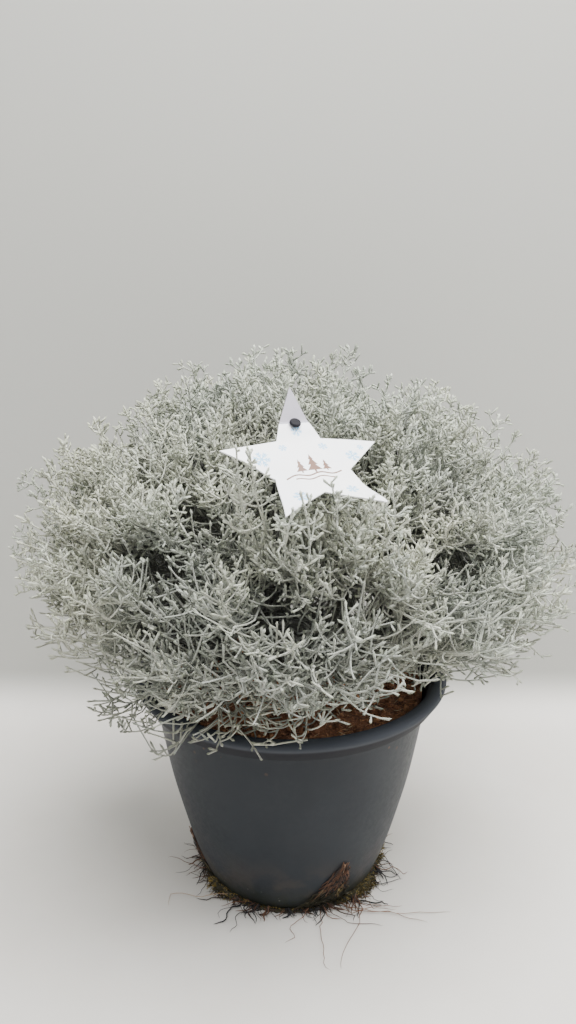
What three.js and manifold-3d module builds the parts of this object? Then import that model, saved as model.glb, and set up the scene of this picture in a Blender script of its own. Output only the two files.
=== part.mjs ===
// A potted cushion bush: a dense silvery mound of wiry stems in a dark grey plastic pot, with the
// soil that fills it, the roots that have crept out of its foot, and a star-shaped card on a pin.
// Millimetres, +Z up. The origin is the centre of the pot's foot, and -Y is the front.
import * as THREE from 'three';
import { mergeVertices } from 'three/addons/utils/BufferGeometryUtils.js';
import Module from 'manifold-3d';

const wasm = await Module();
wasm.setup();

// Driving dimensions of the pot
const POT_HEIGHT = 167;
const RIM_RADIUS = 116;
const SKIRT_DROP = 15.5; // how far the folded-over rim hangs down outside the wall
const FOOT_RADIUS = 62;
const FOOT_INNER_RADIUS = 50;
const BASE_LIFT = 3; // the base between the foot ring and the middle is raised by this
const WALL = 2;
const POT_SIDES = 32;
const MIDDLE_PAD_RADIUS = 16; // the round pad in the middle of the base that also touches the table
const SLOTS = 3;
const FIRST_SLOT_AZIMUTH = -61;
const SLOT_WIDTH = 27;
const SLOT_HEIGHT = 37;
const SLOT_REACH = 45; // how far the slot's cutter reaches out from the foot

// Driving dimensions of the soil
const SOIL_LEVEL = 153;
const SOIL_CROWN = 5; // how much higher the middle of the soil is
const GAP = 0.35; // between two pieces that touch
const HOLE_DEPTH = 42;
const HOLE_RADIUS = 3.5;
const HOLE_OVERRUN = 25; // how far a hole's cutter reaches out above the soil

// Driving dimensions of the bush: an ellipsoid that the tips reach, round its middle
const BUSH_MIDDLE = new THREE.Vector3(4, 0, 258);
const BUSH_WIDE = 207;
const BUSH_DEEP = 190;
const BUSH_ABOVE = 139;
const BUSH_BELOW = 116;
const STEMS = 24;
const LOWEST_STEM = -0.44; // sine of the elevation of the lowest stems
const CROWN_SPACING = 9.6; // spreads the stems' feet over the soil
const STEM_RADIUS = 2.7;
const STEM_SIDES = 4;
const STEM_TAPER = [0.9, 1, 0.9, 0.8, 0.65];
const STEM_LEAN = 0.62; // how far the outermost stem leans out as it leaves the soil
const STRAIGHT_STEM = 22; // the straight length of a stem above the soil
const CORE_MIDDLE = 0.55; // a thicket's middle lies this share of the way out to the tips
const CORE_OUTSIDE = 0.79; // and its core reaches out to this share
const CORE_FURTHEST = 75; // how far a core's knobs may be from its middle
const CORE_GAP = 2.5; // from a core to the plane halfway to its neighbour
const CORE_FROM_STEM = 11; // from a core to another stem or the pin
const CORE_ROUGHNESS = 0.2; // how much nearer than that its knobs may be, as a share
const SHOOTS = 205;
const LOWEST_SHOOT = -0.66;
const TIP_PLAY = 0.07; // the tips end within this share of the bush's reach
const SHOOT_RADIUS = 1.25;
const ROOT_SHARE = 0.55; // a shoot's root is sunk in the core at this share of the way to its surface
const SHOOT_BOW = 0.13; // how far a shoot bows from a straight line, as a share of its length
const FORK_LENGTH = 2.4; // the length of shoot that the twigs of a fork spring from
const FORKS = [0.52, 0.78]; // along a shoot, from its root in the thicket to its tip
const TWIG_ANGLE = 54;
const TWIG_LONGEST = 21;
const TWIG_SHORTEST = 11;
const CLEAR = 0.5; // least space between two limbs that don't join
const GOLDEN_ANGLE = Math.PI * (3 - Math.sqrt(5));

// Hollows in the mound: each runs along an arc from one direction to another (azimuth, elevation)
const HOLLOWS = [
  { from: [-60, 34], to: [-50, -32], width: 10, depth: 0.15 },
  { from: [-114, 36], to: [-120, -2], width: 10, depth: 0.13 },
  { from: [-96, 44], to: [-78, 40], width: 15, depth: 0.13 },
  { from: [62, 30], to: [95, -20], width: 10, depth: 0.1 },
  { from: [150, 40], to: [165, -10], width: 9, depth: 0.08 },
  { from: [-78, -44], to: [-30, -40], width: 13, depth: 0.2 },
];
// Lobes that hang lower or stand further out than the rest
const LOBES = [
  { at: [-128, -36], width: 22, gain: 0.16 },
  { at: [176, -34], width: 20, gain: 0.24 },
  { at: [0, -28], width: 20, gain: 0.1 },
  { at: [90, -32], width: 30, gain: 0.08 },
  { at: [90, 88], width: 24, gain: 0.045 },
];

// Driving dimensions of the tag
const STAR_RADIUS = 52;
const STAR_NOTCH = 0.46; // the notches' radius as a share of the points'
const CARD_THICK = 0.9;
const KNOB_FROM_MIDDLE = 0.59; // the knob's place on the upper arm, as a share of the star's radius
const ARM_BEND = 22; // the upper arm is bent up at the knob by this
const KNOB_RADIUS = 3.6;
const KNOB_LIFT = 0.8; // the knob's neck stands this far over the card
const PIN_RADIUS = 1.25;
const PIN_LENGTH = 292;
const STEM_FROM_PIN = 9;
const PIN_ROOM = 34; // least distance from the pin to the middle of a thicket
const TAG_AT = new THREE.Vector3(1, -100, 371);
const CARD_RIGHT = new THREE.Vector3(0.922, 0.39, -0.016);
const CARD_UP = new THREE.Vector3(-0.326, 0.7935, 0.516);

// Driving dimensions of the roots
const MAT_HEIGHT = 5;
const MAT_WIDTH = 7;
const STRANDS_A_MAT = 10;
const STRAND_RADIUS = 0.95;
const STRAND_SHORTEST = 10;
const STRAND_LONGEST = 38;

const POT_COLOUR = 0x3f4449;
const SOIL_COLOUR = 0x3a2416;
const FOLIAGE_COLOUR = 0xb9c0b2;
const ROOT_COLOUR = 0x3b3322;
const CARD_COLOUR = 0xf1f3f8;
const PIN_COLOUR = 0x1c1d22;

const deg = THREE.MathUtils.degToRad;

// A repeatable number from 0 to 1 for a piece, worked out from its own indices
function draw(a, b, c) {
  const wave = Math.sin(a * 12.9898 + b * 78.233 + c * 37.719) * 43758.5453;
  return wave - Math.floor(wave);
}

function direction(azimuth, elevation) {
  const across = Math.cos(deg(elevation));
  return new THREE.Vector3(
    across * Math.cos(deg(azimuth)),
    across * Math.sin(deg(azimuth)),
    Math.sin(deg(elevation)));
}

// The i-th of n directions spread evenly from straight up down to the lowest one
function spread(i, n, lowest) {
  const z = 1 - (1 - lowest) * (i + 0.5) / n;
  const across = Math.sqrt(1 - z * z);
  const turn = i * GOLDEN_ANGLE;
  return new THREE.Vector3(across * Math.cos(turn), across * Math.sin(turn), z);
}

// The angle in degrees from a direction to the arc between two others
function angleToArc(d, from, to) {
  const best = new THREE.Vector3();
  let least = 180;
  for (let s = 0; s <= 8; s++) {
    best.lerpVectors(from, to, s / 8).normalize();
    least = Math.min(least, THREE.MathUtils.radToDeg(d.angleTo(best)));
  }
  return least;
}

// How far the tips reach from the bush's middle in a direction
function reach(d) {
  const rise = d.z > 0 ? BUSH_ABOVE : BUSH_BELOW;
  let share = 1;
  for (const h of HOLLOWS) {
    const away = angleToArc(d, direction(...h.from), direction(...h.to));
    share -= h.depth * Math.exp(-((away / h.width) ** 2));
  }
  for (const l of LOBES) {
    const away = THREE.MathUtils.radToDeg(d.angleTo(direction(...l.at)));
    share += l.gain * Math.exp(-((away / l.width) ** 2));
  }
  return share / Math.hypot(d.x / BUSH_WIDE, d.y / BUSH_DEEP, d.z / rise);
}

// A closed three.js geometry as a solid that can be joined and cut
function solid(geometry) {
  const bare = geometry.index ? geometry.toNonIndexed() : geometry.clone();
  bare.deleteAttribute('normal');
  bare.deleteAttribute('uv');
  const merged = mergeVertices(bare, 1e-4);
  return new wasm.Manifold(new wasm.Mesh({
    numProp: 3,
    vertProperties: merged.attributes.position.array,
    triVerts: new Uint32Array(merged.index.array),
  }));
}

// A solid back as a named mesh
function mesh(name, body, material) {
  const { vertProperties, triVerts } = body.getMesh();
  const geometry = new THREE.BufferGeometry();
  geometry.setAttribute('position', new THREE.BufferAttribute(new Float32Array(vertProperties), 3));
  geometry.setIndex(new THREE.BufferAttribute(new Uint32Array(triVerts), 1));
  geometry.computeVertexNormals();
  const made = new THREE.Mesh(geometry, material);
  made.name = name;
  return made;
}

// Solids joined into one body, without the loose scraps that a join can leave
function fused(solids) {
  const bodies = wasm.Manifold.union(solids).decompose();
  return bodies.reduce((best, body) => (body.volume() > best.volume() ? body : best));
}

// A closed limb: rings of a few corners carried along points, with a radius at each point.
// A last radius of 0 ends it in a point.
function limb(points, radii, sides, turn = 0) {
  const positions = [];
  const faces = [];
  const rings = [];
  points.forEach((p, i) => {
    const before = points[Math.max(i - 1, 0)];
    const after = points[Math.min(i + 1, points.length - 1)];
    const along = after.clone().sub(before).normalize();
    const side = new THREE.Vector3(0, 0, 1);
    if (Math.abs(along.z) > 0.9) side.set(1, 0, 0);
    side.cross(along).normalize();
    const other = along.clone().cross(side);
    const corners = radii[i] === 0 ? 1 : sides;
    rings.push({ first: positions.length / 3, corners });
    for (let s = 0; s < corners; s++) {
      const angle = turn + s * 2 * Math.PI / sides;
      const corner = p.clone()
        .addScaledVector(side, radii[i] * Math.cos(angle))
        .addScaledVector(other, radii[i] * Math.sin(angle));
      positions.push(corner.x, corner.y, corner.z);
    }
  });
  for (let i = 0; i + 1 < rings.length; i++) {
    const low = rings[i];
    const high = rings[i + 1];
    for (let s = 0; s < sides; s++) {
      const next = (s + 1) % sides;
      if (high.corners === 1) {
        faces.push(low.first + s, low.first + next, high.first);
      } else {
        faces.push(low.first + s, low.first + next, high.first + next);
        faces.push(low.first + s, high.first + next, high.first + s);
      }
    }
  }
  const end = rings[rings.length - 1];
  for (let s = 1; s + 1 < sides; s++) {
    faces.push(rings[0].first, rings[0].first + s + 1, rings[0].first + s);
    if (end.corners > 1) faces.push(end.first, end.first + s, end.first + s + 1);
  }
  const geometry = new THREE.BufferGeometry();
  geometry.setAttribute('position', new THREE.Float32BufferAttribute(positions, 3));
  geometry.setIndex(faces);
  return geometry;
}

// The wall's outside, from the foot over the belly to under the rim: radius and height
const WALL_OUTSIDE = [
  [FOOT_RADIUS, 0], [66.5, 7], [75.2, 30], [83.8, 61], [91, 91], [96.4, 121], [101.2, 150],
];

function wallRadius(height) {
  const above = WALL_OUTSIDE.findIndex(([, z]) => z >= height);
  const i = above < 0 ? WALL_OUTSIDE.length - 1 : Math.max(above, 1);
  const [lowRadius, low] = WALL_OUTSIDE[i - 1];
  const [highRadius, high] = WALL_OUTSIDE[i];
  return THREE.MathUtils.mapLinear(height, low, high, lowRadius, highRadius);
}

function turned(profile, sides) {
  const outline = profile.map(([radius, height]) => new THREE.Vector2(radius, height));
  return new THREE.LatheGeometry(outline, sides).rotateX(Math.PI / 2);
}

// The arch of a drain slot, cut through the foot from the outside
function slotCutter(azimuth) {
  const half = SLOT_WIDTH / 2;
  const arch = new THREE.Shape();
  arch.moveTo(-half, -5);
  arch.lineTo(half, -5);
  arch.lineTo(half, SLOT_HEIGHT * 0.45);
  arch.lineTo(half * 0.3, SLOT_HEIGHT);
  arch.lineTo(-half * 0.3, SLOT_HEIGHT);
  arch.lineTo(-half, SLOT_HEIGHT * 0.45);
  const cutter = new THREE.ExtrudeGeometry(arch, { depth: SLOT_REACH, bevelEnabled: false });
  cutter.rotateX(Math.PI / 2);
  cutter.translate(0, FOOT_INNER_RADIUS + 4 + SLOT_REACH, 0);
  return cutter.rotateZ(deg(azimuth - 90));
}

function pot() {
  const top = POT_HEIGHT;
  const skirt = top - SKIRT_DROP;
  const outside = [
    [0, 0], [MIDDLE_PAD_RADIUS, 0], [MIDDLE_PAD_RADIUS + 2, BASE_LIFT],
    [FOOT_INNER_RADIUS, BASE_LIFT], [FOOT_INNER_RADIUS + 2, 0], ...WALL_OUTSIDE,
    [RIM_RADIUS - 8, top - 3.2], [RIM_RADIUS - 3, top - 3.4],
    [RIM_RADIUS - 10, skirt], [RIM_RADIUS - 8.2, skirt - 0.4], [RIM_RADIUS, top - 3.6],
    [RIM_RADIUS - 4, top], [RIM_RADIUS - 10, top - 0.4], [RIM_RADIUS - 13.4, top - 5],
    [RIM_RADIUS - 15.6, top - 14],
  ];
  const inside = WALL_OUTSIDE.slice(2, -1).reverse().map(([radius, height]) => [radius - WALL, height]);
  const profile = [...outside, ...inside, [FOOT_RADIUS - 1, BASE_LIFT + WALL], [0, BASE_LIFT + WALL]];
  let made = solid(turned(profile, POT_SIDES));
  for (let i = 0; i < SLOTS; i++) {
    made = made.subtract(solid(slotCutter(FIRST_SLOT_AZIMUTH + i * 360 / SLOTS)));
  }
  return made;
}

// Height of the soil's surface: domed in the middle and a little lumpy
function soilHeight(x, y) {
  const out = Math.hypot(x, y) / wallRadius(SOIL_LEVEL);
  const lumps = Math.sin(x * 0.19 + 1.3) * Math.cos(y * 0.23) + 0.6 * Math.sin(x * 0.41 - y * 0.37);
  return SOIL_LEVEL + SOIL_CROWN * (1 - out * out) + 0.9 * lumps * (1 - out ** 4);
}

// The root ball: it follows the pot's inside a gap away, and has a plain hole for each stem and the pin
function soil(feet, pinHole) {
  const shrink = WALL + GAP;
  const low = BASE_LIFT + WALL + GAP;
  const side = WALL_OUTSIDE.slice(2, -1).map(([radius, height]) => [radius - shrink, height]);
  const edge = wallRadius(SOIL_LEVEL) - shrink - 1;
  const top = [1, 0.66, 0.33].map((share) => [edge * share, SOIL_LEVEL]);
  const profile = [
    [0, low], [FOOT_RADIUS - 2.5, low], ...side, [edge, SOIL_LEVEL - 4], ...top, [0, SOIL_LEVEL],
  ];
  const ball = turned(profile, POT_SIDES);
  const at = ball.attributes.position;
  for (let i = 0; i < at.count; i++) {
    if (at.getZ(i) > SOIL_LEVEL - 1) at.setZ(i, soilHeight(at.getX(i), at.getY(i)));
  }
  const holes = feet.map((foot) => {
    const mouth = foot.bottom.clone().addScaledVector(foot.along, HOLE_DEPTH + HOLE_OVERRUN);
    const end = foot.bottom.clone().addScaledVector(foot.along, -1);
    return solid(limb([end, mouth], [HOLE_RADIUS, HOLE_RADIUS], STEM_SIDES));
  });
  return wasm.Manifold.difference([solid(ball), ...holes, pinHole]);
}

const TAG_FRAME = new THREE.Matrix4().makeBasis(
  CARD_RIGHT.clone().normalize(),
  CARD_UP.clone().normalize(),
  CARD_RIGHT.clone().cross(CARD_UP).normalize()).setPosition(TAG_AT);
const TO_TAG = TAG_FRAME.clone().invert();
const STAR_MIDDLE = -KNOB_FROM_MIDDLE * STAR_RADIUS; // along the card's up axis, from the knob

function starCorner(i, radius) {
  const angle = Math.PI / 2 + i * Math.PI / 5;
  const r = i % 2 ? radius * STAR_NOTCH : radius;
  return [r * Math.cos(angle), STAR_MIDDLE + r * Math.sin(angle)];
}

function flat(corners) {
  const outline = new THREE.Shape(corners.map(([x, y]) => new THREE.Vector2(x, y)));
  return new THREE.ExtrudeGeometry(outline, { depth: CARD_THICK, bevelEnabled: false })
    .translate(0, 0, -CARD_THICK / 2);
}

// The star with its upper arm bent up along a crease through the knob's hole
function card() {
  const [, shoulder] = starCorner(1, STAR_RADIUS);
  const [halfWidth] = starCorner(9, STAR_RADIUS);
  const tip = STAR_MIDDLE + STAR_RADIUS;
  const crease = halfWidth * tip / (tip - shoulder);
  const corners = Array.from({ length: 9 }, (_, i) => starCorner(i + 1, STAR_RADIUS));
  const lower = [[-crease, 0], ...corners, [crease, 0]];
  const arm = flat([[crease, -0.4], [0, tip], [-crease, -0.4]]).rotateX(deg(ARM_BEND));
  const hole = solid(limb(
    [new THREE.Vector3(0, 0, -3), new THREE.Vector3(0, 0, 3)],
    [PIN_RADIUS + GAP, PIN_RADIUS + GAP], 6));
  return solid(flat(lower)).add(solid(arm)).subtract(hole);
}

// The pin: a round knob over the card, a small collar under it, and a long pointed rod
function pin() {
  const lift = CARD_THICK / 2 + KNOB_LIFT;
  const knob = [
    [0, lift], [PIN_RADIUS, lift], [KNOB_RADIUS * 0.8, lift + KNOB_RADIUS * 0.42],
    [KNOB_RADIUS, lift + KNOB_RADIUS * 0.85], [KNOB_RADIUS * 0.75, lift + KNOB_RADIUS * 1.3],
    [0, lift + KNOB_RADIUS * 1.5],
  ];
  const under = -CARD_THICK / 2 - GAP;
  const collar = [[0, under - 2.6], [PIN_RADIUS, under - 2.6], [2.6, under - 1], [2.6, under], [0, under]];
  const heights = [-PIN_LENGTH, -PIN_LENGTH + 12, lift + 1];
  const rod = limb(heights.map((z) => new THREE.Vector3(0, 0, z)), [0.3, PIN_RADIUS, PIN_RADIUS], 6);
  return fused([solid(turned(knob, 12)), solid(turned(collar, 8)), solid(rod)]);
}

// What the limbs have to stay clear of: capsules round other limbs, and the core of each thicket
const capsules = [];
const cores = [];

function segmentDistance(p1, q1, p2, q2) {
  const d1 = q1.clone().sub(p1);
  const d2 = q2.clone().sub(p2);
  const r = p1.clone().sub(p2);
  const a = d1.dot(d1);
  const e = d2.dot(d2);
  const f = d2.dot(r);
  const c = d1.dot(r);
  const b = d1.dot(d2);
  const denominator = a * e - b * b;
  let s = denominator > 1e-9 ? THREE.MathUtils.clamp((b * f - c * e) / denominator, 0, 1) : 0;
  let t = (b * s + f) / e;
  if (t < 0) {
    t = 0;
    s = THREE.MathUtils.clamp(-c / a, 0, 1);
  } else if (t > 1) {
    t = 1;
    s = THREE.MathUtils.clamp((b - c) / a, 0, 1);
  }
  return p1.clone().addScaledVector(d1, s).distanceTo(p2.clone().addScaledVector(d2, t));
}

// True where a point is in or near the pot, the soil or the card
function blocked(p, radius) {
  const out = Math.hypot(p.x, p.y);
  const overPot = out < RIM_RADIUS + 3 + radius && p.z < POT_HEIGHT + 2 + radius;
  const local = p.clone().applyMatrix4(TO_TAG);
  const fromMiddle = Math.hypot(local.x, local.y - STAR_MIDDLE);
  const nearCard = fromMiddle < STAR_RADIUS + 3 && Math.abs(local.z) < 2.5 + radius;
  const nearArm = Math.abs(local.x) < 14 && local.y > -3 && local.y < 26 && local.z > -3 && local.z < 14;
  return overPot || nearCard || nearArm;
}

// True where a point lies in a core or within a margin of it
function inCore(core, p, margin) {
  const out = p.clone().sub(core.middle);
  const far = out.length();
  return far < CORE_FURTHEST + margin && far < knobTowards(core, out).far + margin;
}

// The knob of a core that lies nearest to a direction from its middle
function knobTowards(core, out) {
  return core.knobs.reduce((best, knob) => (knob.way.dot(out) > best.way.dot(out) ? knob : best));
}

// True where a limb of one stem touches nothing that it doesn't grow from
function clearOf(p, q, radius, stem, parent) {
  const length = p.distanceTo(q);
  const steps = Math.ceil(length / 5);
  for (let s = 0; s <= steps; s++) {
    const at = p.clone().lerp(q, s / steps);
    if (blocked(at, radius)) return false;
    if (cores.some((core) => core.stem !== stem && inCore(core, at, radius + 2))) return false;
  }
  const middle = p.clone().lerp(q, 0.5);
  return !capsules.some((c) => {
    if (c.id === parent || (c.stem === stem && c.trunk)) return false;
    if (middle.distanceTo(c.middle) > (length + c.length) / 2 + radius + c.radius + CLEAR) return false;
    return segmentDistance(p, q, c.p, c.q) < radius + c.radius + CLEAR;
  });
}

function keepClearOf(p, q, radius, stem, id, trunk = false) {
  capsules.push({ p, q, radius, stem, id, trunk, middle: p.clone().lerp(q, 0.5), length: p.distanceTo(q) });
}

// Where each stem stands, which way it grows and where its thicket is
function stemPlan(k) {
  const aim = spread(k, STEMS, LOWEST_STEM);
  const out = CROWN_SPACING * Math.sqrt(k + 0.5);
  const turn = k * GOLDEN_ANGLE;
  const mouth = new THREE.Vector3(out * Math.cos(turn), out * Math.sin(turn), SOIL_LEVEL + SOIL_CROWN);
  const lean = STEM_LEAN * out / (CROWN_SPACING * Math.sqrt(STEMS));
  const along = new THREE.Vector3(Math.cos(turn) * lean, Math.sin(turn) * lean, 1).normalize();
  const bottom = mouth.clone().addScaledVector(along, -HOLE_DEPTH);
  const middle = BUSH_MIDDLE.clone().addScaledVector(aim, reach(aim) * CORE_MIDDLE);
  return { k, mouth, along, bottom, middle };
}

// The main stem: straight up out of its hole, then curving out to the thicket
function trunk(plan) {
  const lift = plan.mouth.clone().addScaledVector(plan.along, STRAIGHT_STEM);
  const bend = plan.mouth.clone().addScaledVector(plan.along, plan.mouth.distanceTo(plan.middle) * 0.55);
  bend.z = Math.max(bend.z, plan.middle.z - 30);
  const curve = new THREE.QuadraticBezierCurve3(lift, bend, plan.middle);
  return [plan.bottom, lift, ...[0.35, 0.7, 1].map((t) => standOff(curve.getPoint(t), STEM_FROM_PIN))];
}

// True where a thicket's core may be: short of the tips, on its own side of each neighbour,
// and off the pot, the card, the pin and the other stems
function hasRoom(plan, p) {
  const out = p.clone().sub(BUSH_MIDDLE);
  if (out.length() > CORE_OUTSIDE * reach(out.clone().normalize()) || blocked(p, 6)) return false;
  const fromMiddle = p.clone().sub(plan.middle);
  for (const { k, middle } of plans) {
    if (k === plan.k) continue;
    const across = middle.clone().sub(plan.middle);
    if (fromMiddle.dot(across) / across.length() > across.length() / 2 - CORE_GAP) return false;
  }
  return !capsules.some((c) => {
    if (c.stem === plan.k) return false;
    const near = new THREE.Line3(c.p, c.q).closestPointToPoint(p, true, new THREE.Vector3());
    return near.distanceTo(p) < c.radius + CORE_FROM_STEM;
  });
}

// A thicket's smaller core: a rough lump that fills its share of the bush, and that the shoots stand
// out of. It is an icosahedron split once, with each of its corners moved out to a knob.
function growCore(plan) {
  const lump = new THREE.IcosahedronGeometry(1, 1);
  const at = lump.attributes.position;
  const knobs = [];
  const v = new THREE.Vector3();
  for (let i = 0; i < at.count; i++) {
    v.fromBufferAttribute(at, i).normalize();
    let knob = knobs.find((other) => other.way.distanceTo(v) < 0.01);
    if (!knob) {
      let far = 4;
      while (far < CORE_FURTHEST && hasRoom(plan, plan.middle.clone().addScaledVector(v, far + 2))) far += 2;
      knob = { way: v.clone(), far: far * (1 - CORE_ROUGHNESS * draw(plan.k, knobs.length, 9)) };
      knobs.push(knob);
    }
    v.multiplyScalar(knob.far).add(plan.middle);
    at.setXYZ(i, v.x, v.y, v.z);
  }
  cores.push({ stem: plan.k, middle: plan.middle, knobs });
  return lump;
}

// A shoot as one closed limb: a three-cornered stalk through its stations that ends in a point.
// A station may list a twig's tip for each of the three faces between it and the next station,
// and the twig is raised from that face.
function shoot(stations, tip, side, other, turn) {
  const positions = [];
  const faces = [];
  const corner = (point) => positions.push(point.x, point.y, point.z) / 3 - 1;
  for (const station of stations) {
    station.corners = [0, 1, 2].map((s) => {
      const angle = turn + s * 2 * Math.PI / 3;
      return corner(station.at.clone()
        .addScaledVector(side, SHOOT_RADIUS * Math.cos(angle))
        .addScaledVector(other, SHOOT_RADIUS * Math.sin(angle)));
    });
  }
  stations.slice(1).forEach((high, i) => {
    const low = stations[i];
    for (let s = 0; s < 3; s++) {
      const n = (s + 1) % 3;
      const around = [low.corners[s], low.corners[n], high.corners[n], high.corners[s]];
      if (low.twigs && low.twigs[s]) {
        const apex = corner(low.twigs[s]);
        for (let e = 0; e < 4; e++) faces.push(around[e], around[(e + 1) % 4], apex);
      } else {
        faces.push(around[0], around[1], around[2], around[0], around[2], around[3]);
      }
    }
  });
  const first = stations[0].corners;
  const last = stations[stations.length - 1].corners;
  const apex = corner(tip);
  faces.push(first[0], first[2], first[1]);
  for (let s = 0; s < 3; s++) faces.push(last[s], last[(s + 1) % 3], apex);
  const geometry = new THREE.BufferGeometry();
  geometry.setAttribute('position', new THREE.Float32BufferAttribute(positions, 3));
  geometry.setIndex(faces);
  return geometry;
}

const plans = Array.from({ length: STEMS }, (_, k) => stemPlan(k));
const pinTip = new THREE.Vector3(0, 0, -PIN_LENGTH).applyMatrix4(TAG_FRAME);
keepClearOf(TAG_AT, pinTip, PIN_RADIUS + 0.6, -1, 'pin');

function onPin(point) {
  return new THREE.Line3(TAG_AT, pinTip).closestPointToPoint(point, true, new THREE.Vector3());
}

function fromPin(point) {
  return onPin(point).distanceTo(point);
}

// Moves a point out sideways until it is this far from the pin
function standOff(point, room) {
  const short = room - fromPin(point);
  if (short > 0) point.addScaledVector(point.clone().sub(onPin(point)).normalize(), short);
  return point;
}

// A thicket that the pin would run through stands a little to one side of it
for (const { middle } of plans) standOff(middle, PIN_ROOM);

const trunks = plans.map(trunk);
trunks.forEach((points, k) => {
  for (let i = 1; i < points.length; i++) {
    keepClearOf(points[i - 1], points[i], STEM_RADIUS, k, `trunk${k}`, true);
  }
});

const pieces = plans.map((plan) => [
  solid(limb(trunks[plan.k], STEM_TAPER.map((share) => share * STEM_RADIUS), STEM_SIDES)),
  solid(growCore(plan)),
]);

// The tips of the twigs that spring from a shoot's three faces at a fork, or null where there is no room
function forkTwigs(i, fork, from, along, side, other, turn, stem, id) {
  return [0, 1, 2].map((s) => {
    const angle = turn + (s + 0.5) * 2 * Math.PI / 3 + 0.6 * (draw(i, fork, s) - 0.5);
    const away = side.clone().multiplyScalar(Math.cos(angle)).addScaledVector(other, Math.sin(angle));
    const steep = deg(TWIG_ANGLE + 24 * (draw(i, fork, s + 3) - 0.5));
    const way = along.clone().multiplyScalar(Math.cos(steep)).addScaledVector(away, Math.sin(steep));
    const wanted = THREE.MathUtils.lerp(TWIG_SHORTEST, TWIG_LONGEST, draw(i, fork, s + 6));
    for (const share of [1, 0.75, 0.5]) {
      const tip = from.clone().addScaledVector(way, wanted * share);
      if (clearOf(from.clone().addScaledVector(way, 2), tip, SHOOT_RADIUS, stem, id)) {
        keepClearOf(from, tip, SHOOT_RADIUS * 0.8, stem, id);
        return tip;
      }
    }
    return null;
  });
}

// The shoots' tips are spread evenly over the whole bush, and each grows from the nearest thicket.
// It bows up towards the light, or hangs over if it is a low one, and is bent aside where another is near.
function growShoot(i) {
  const d = spread(i, SHOOTS, LOWEST_SHOOT);
  const tip = BUSH_MIDDLE.clone().addScaledVector(d, reach(d) * (1 - TIP_PLAY * draw(i, 1, 0)));
  const core = cores.reduce((best, c) => (c.middle.distanceTo(tip) < best.middle.distanceTo(tip) ? c : best));
  const stem = core.stem;
  const way = tip.clone().sub(core.middle);
  const along = way.clone().normalize();
  const root = core.middle.clone().addScaledVector(along, knobTowards(core, way).far * ROOT_SHARE);
  const length = root.distanceTo(tip);
  const side = new THREE.Vector3(0, 0, 1).cross(along).normalize();
  const other = along.clone().cross(side);
  const sag = (d.z < -0.25 ? 1 : -1) * Math.hypot(along.x, along.y);
  for (let attempt = 0; attempt < 7; attempt++) {
    const bow = root.clone().lerp(tip, 0.5);
    bow.z += sag * SHOOT_BOW * length;
    if (attempt > 0) {
      const turn = attempt * Math.PI / 3;
      bow.addScaledVector(side, 2 * SHOOT_BOW * length * Math.cos(turn));
      bow.addScaledVector(other, 2 * SHOOT_BOW * length * Math.sin(turn));
    }
    const curve = new THREE.QuadraticBezierCurve3(root, bow, tip);
    const marks = [0, ...FORKS, 1].map((t) => curve.getPoint(t));
    if (!marks.slice(1).every((q, m) => clearOf(marks[m], q, SHOOT_RADIUS, stem, null))) continue;
    const id = `shoot${i}`;
    marks.slice(1).forEach((q, m) => keepClearOf(marks[m], q, SHOOT_RADIUS, stem, id));
    const turn = i * 1.7;
    const stations = [{ at: root }];
    FORKS.forEach((t, fork) => {
      const at = curve.getPoint(t);
      const onward = curve.getTangent(t);
      stations.push({ at, twigs: forkTwigs(i, fork, at, onward, side, other, turn, stem, id) });
      stations.push({ at: at.clone().addScaledVector(onward, FORK_LENGTH) });
    });
    pieces[stem].push(solid(shoot(stations, tip, side, other, turn)));
    return;
  }
}

for (let i = 0; i < SHOOTS; i++) growShoot(i);

// A mat creeps round the foot on each side of a drain slot, and fills the slot against the soil
function rootMat(m) {
  const centre = FIRST_SLOT_AZIMUTH + m * 360 / SLOTS;
  const half = 180 / SLOTS - 2;
  const inner = FOOT_RADIUS + MAT_HEIGHT * 0.8 + GAP;
  const onCircle = (azimuth, radius, z) => new THREE.Vector3(
    radius * Math.cos(deg(azimuth)), radius * Math.sin(deg(azimuth)), z);
  const made = [];
  const steps = 8;
  const spine = [];
  const thickness = [];
  for (let i = 0; i <= steps; i++) {
    const azimuth = centre - half + 4 + (2 * half - 8) * i / steps;
    thickness.push(MAT_WIDTH / 2 * (0.75 + 0.25 * Math.sin(i * 2.1 + m)));
    spine.push(onCircle(azimuth, inner + MAT_WIDTH / 2, MAT_WIDTH / 2 * 0.55));
  }
  const ridge = limb(spine, thickness, 4, 0.3);
  const at = ridge.attributes.position;
  for (let i = 0; i < at.count; i++) {
    at.setZ(i, THREE.MathUtils.clamp(at.getZ(i), 0.25, MAT_HEIGHT));
    const r = Math.hypot(at.getX(i), at.getY(i));
    const least = wallRadius(at.getZ(i)) + 0.6;
    if (r < least) {
      at.setX(i, at.getX(i) * least / r);
      at.setY(i, at.getY(i) * least / r);
    }
  }
  made.push(solid(ridge));
  for (let i = 0; i < STRANDS_A_MAT; i++) {
    const azimuth = centre - half + 6 + (2 * half - 12) * (i + 0.3 + 0.4 * draw(i, m, 5)) / STRANDS_A_MAT;
    const long = STRAND_SHORTEST + (STRAND_LONGEST - STRAND_SHORTEST) * draw(i, m, 6) ** 1.8;
    const sway = (draw(i, m, 7) - 0.5) * 14;
    const sway2 = (draw(i, m, 8) - 0.5) * 16;
    const start = inner + MAT_WIDTH * 0.45;
    const points = [
      onCircle(azimuth, start, 2.2),
      onCircle(azimuth + sway * 0.4, start + long * 0.5, 1.2),
      onCircle(azimuth + sway + sway2 * 0.4, start + long, 1.1),
    ];
    made.push(solid(limb(points, [STRAND_RADIUS, STRAND_RADIUS * 0.9, 0], 3, i)));
  }
  return made;
}

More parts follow.
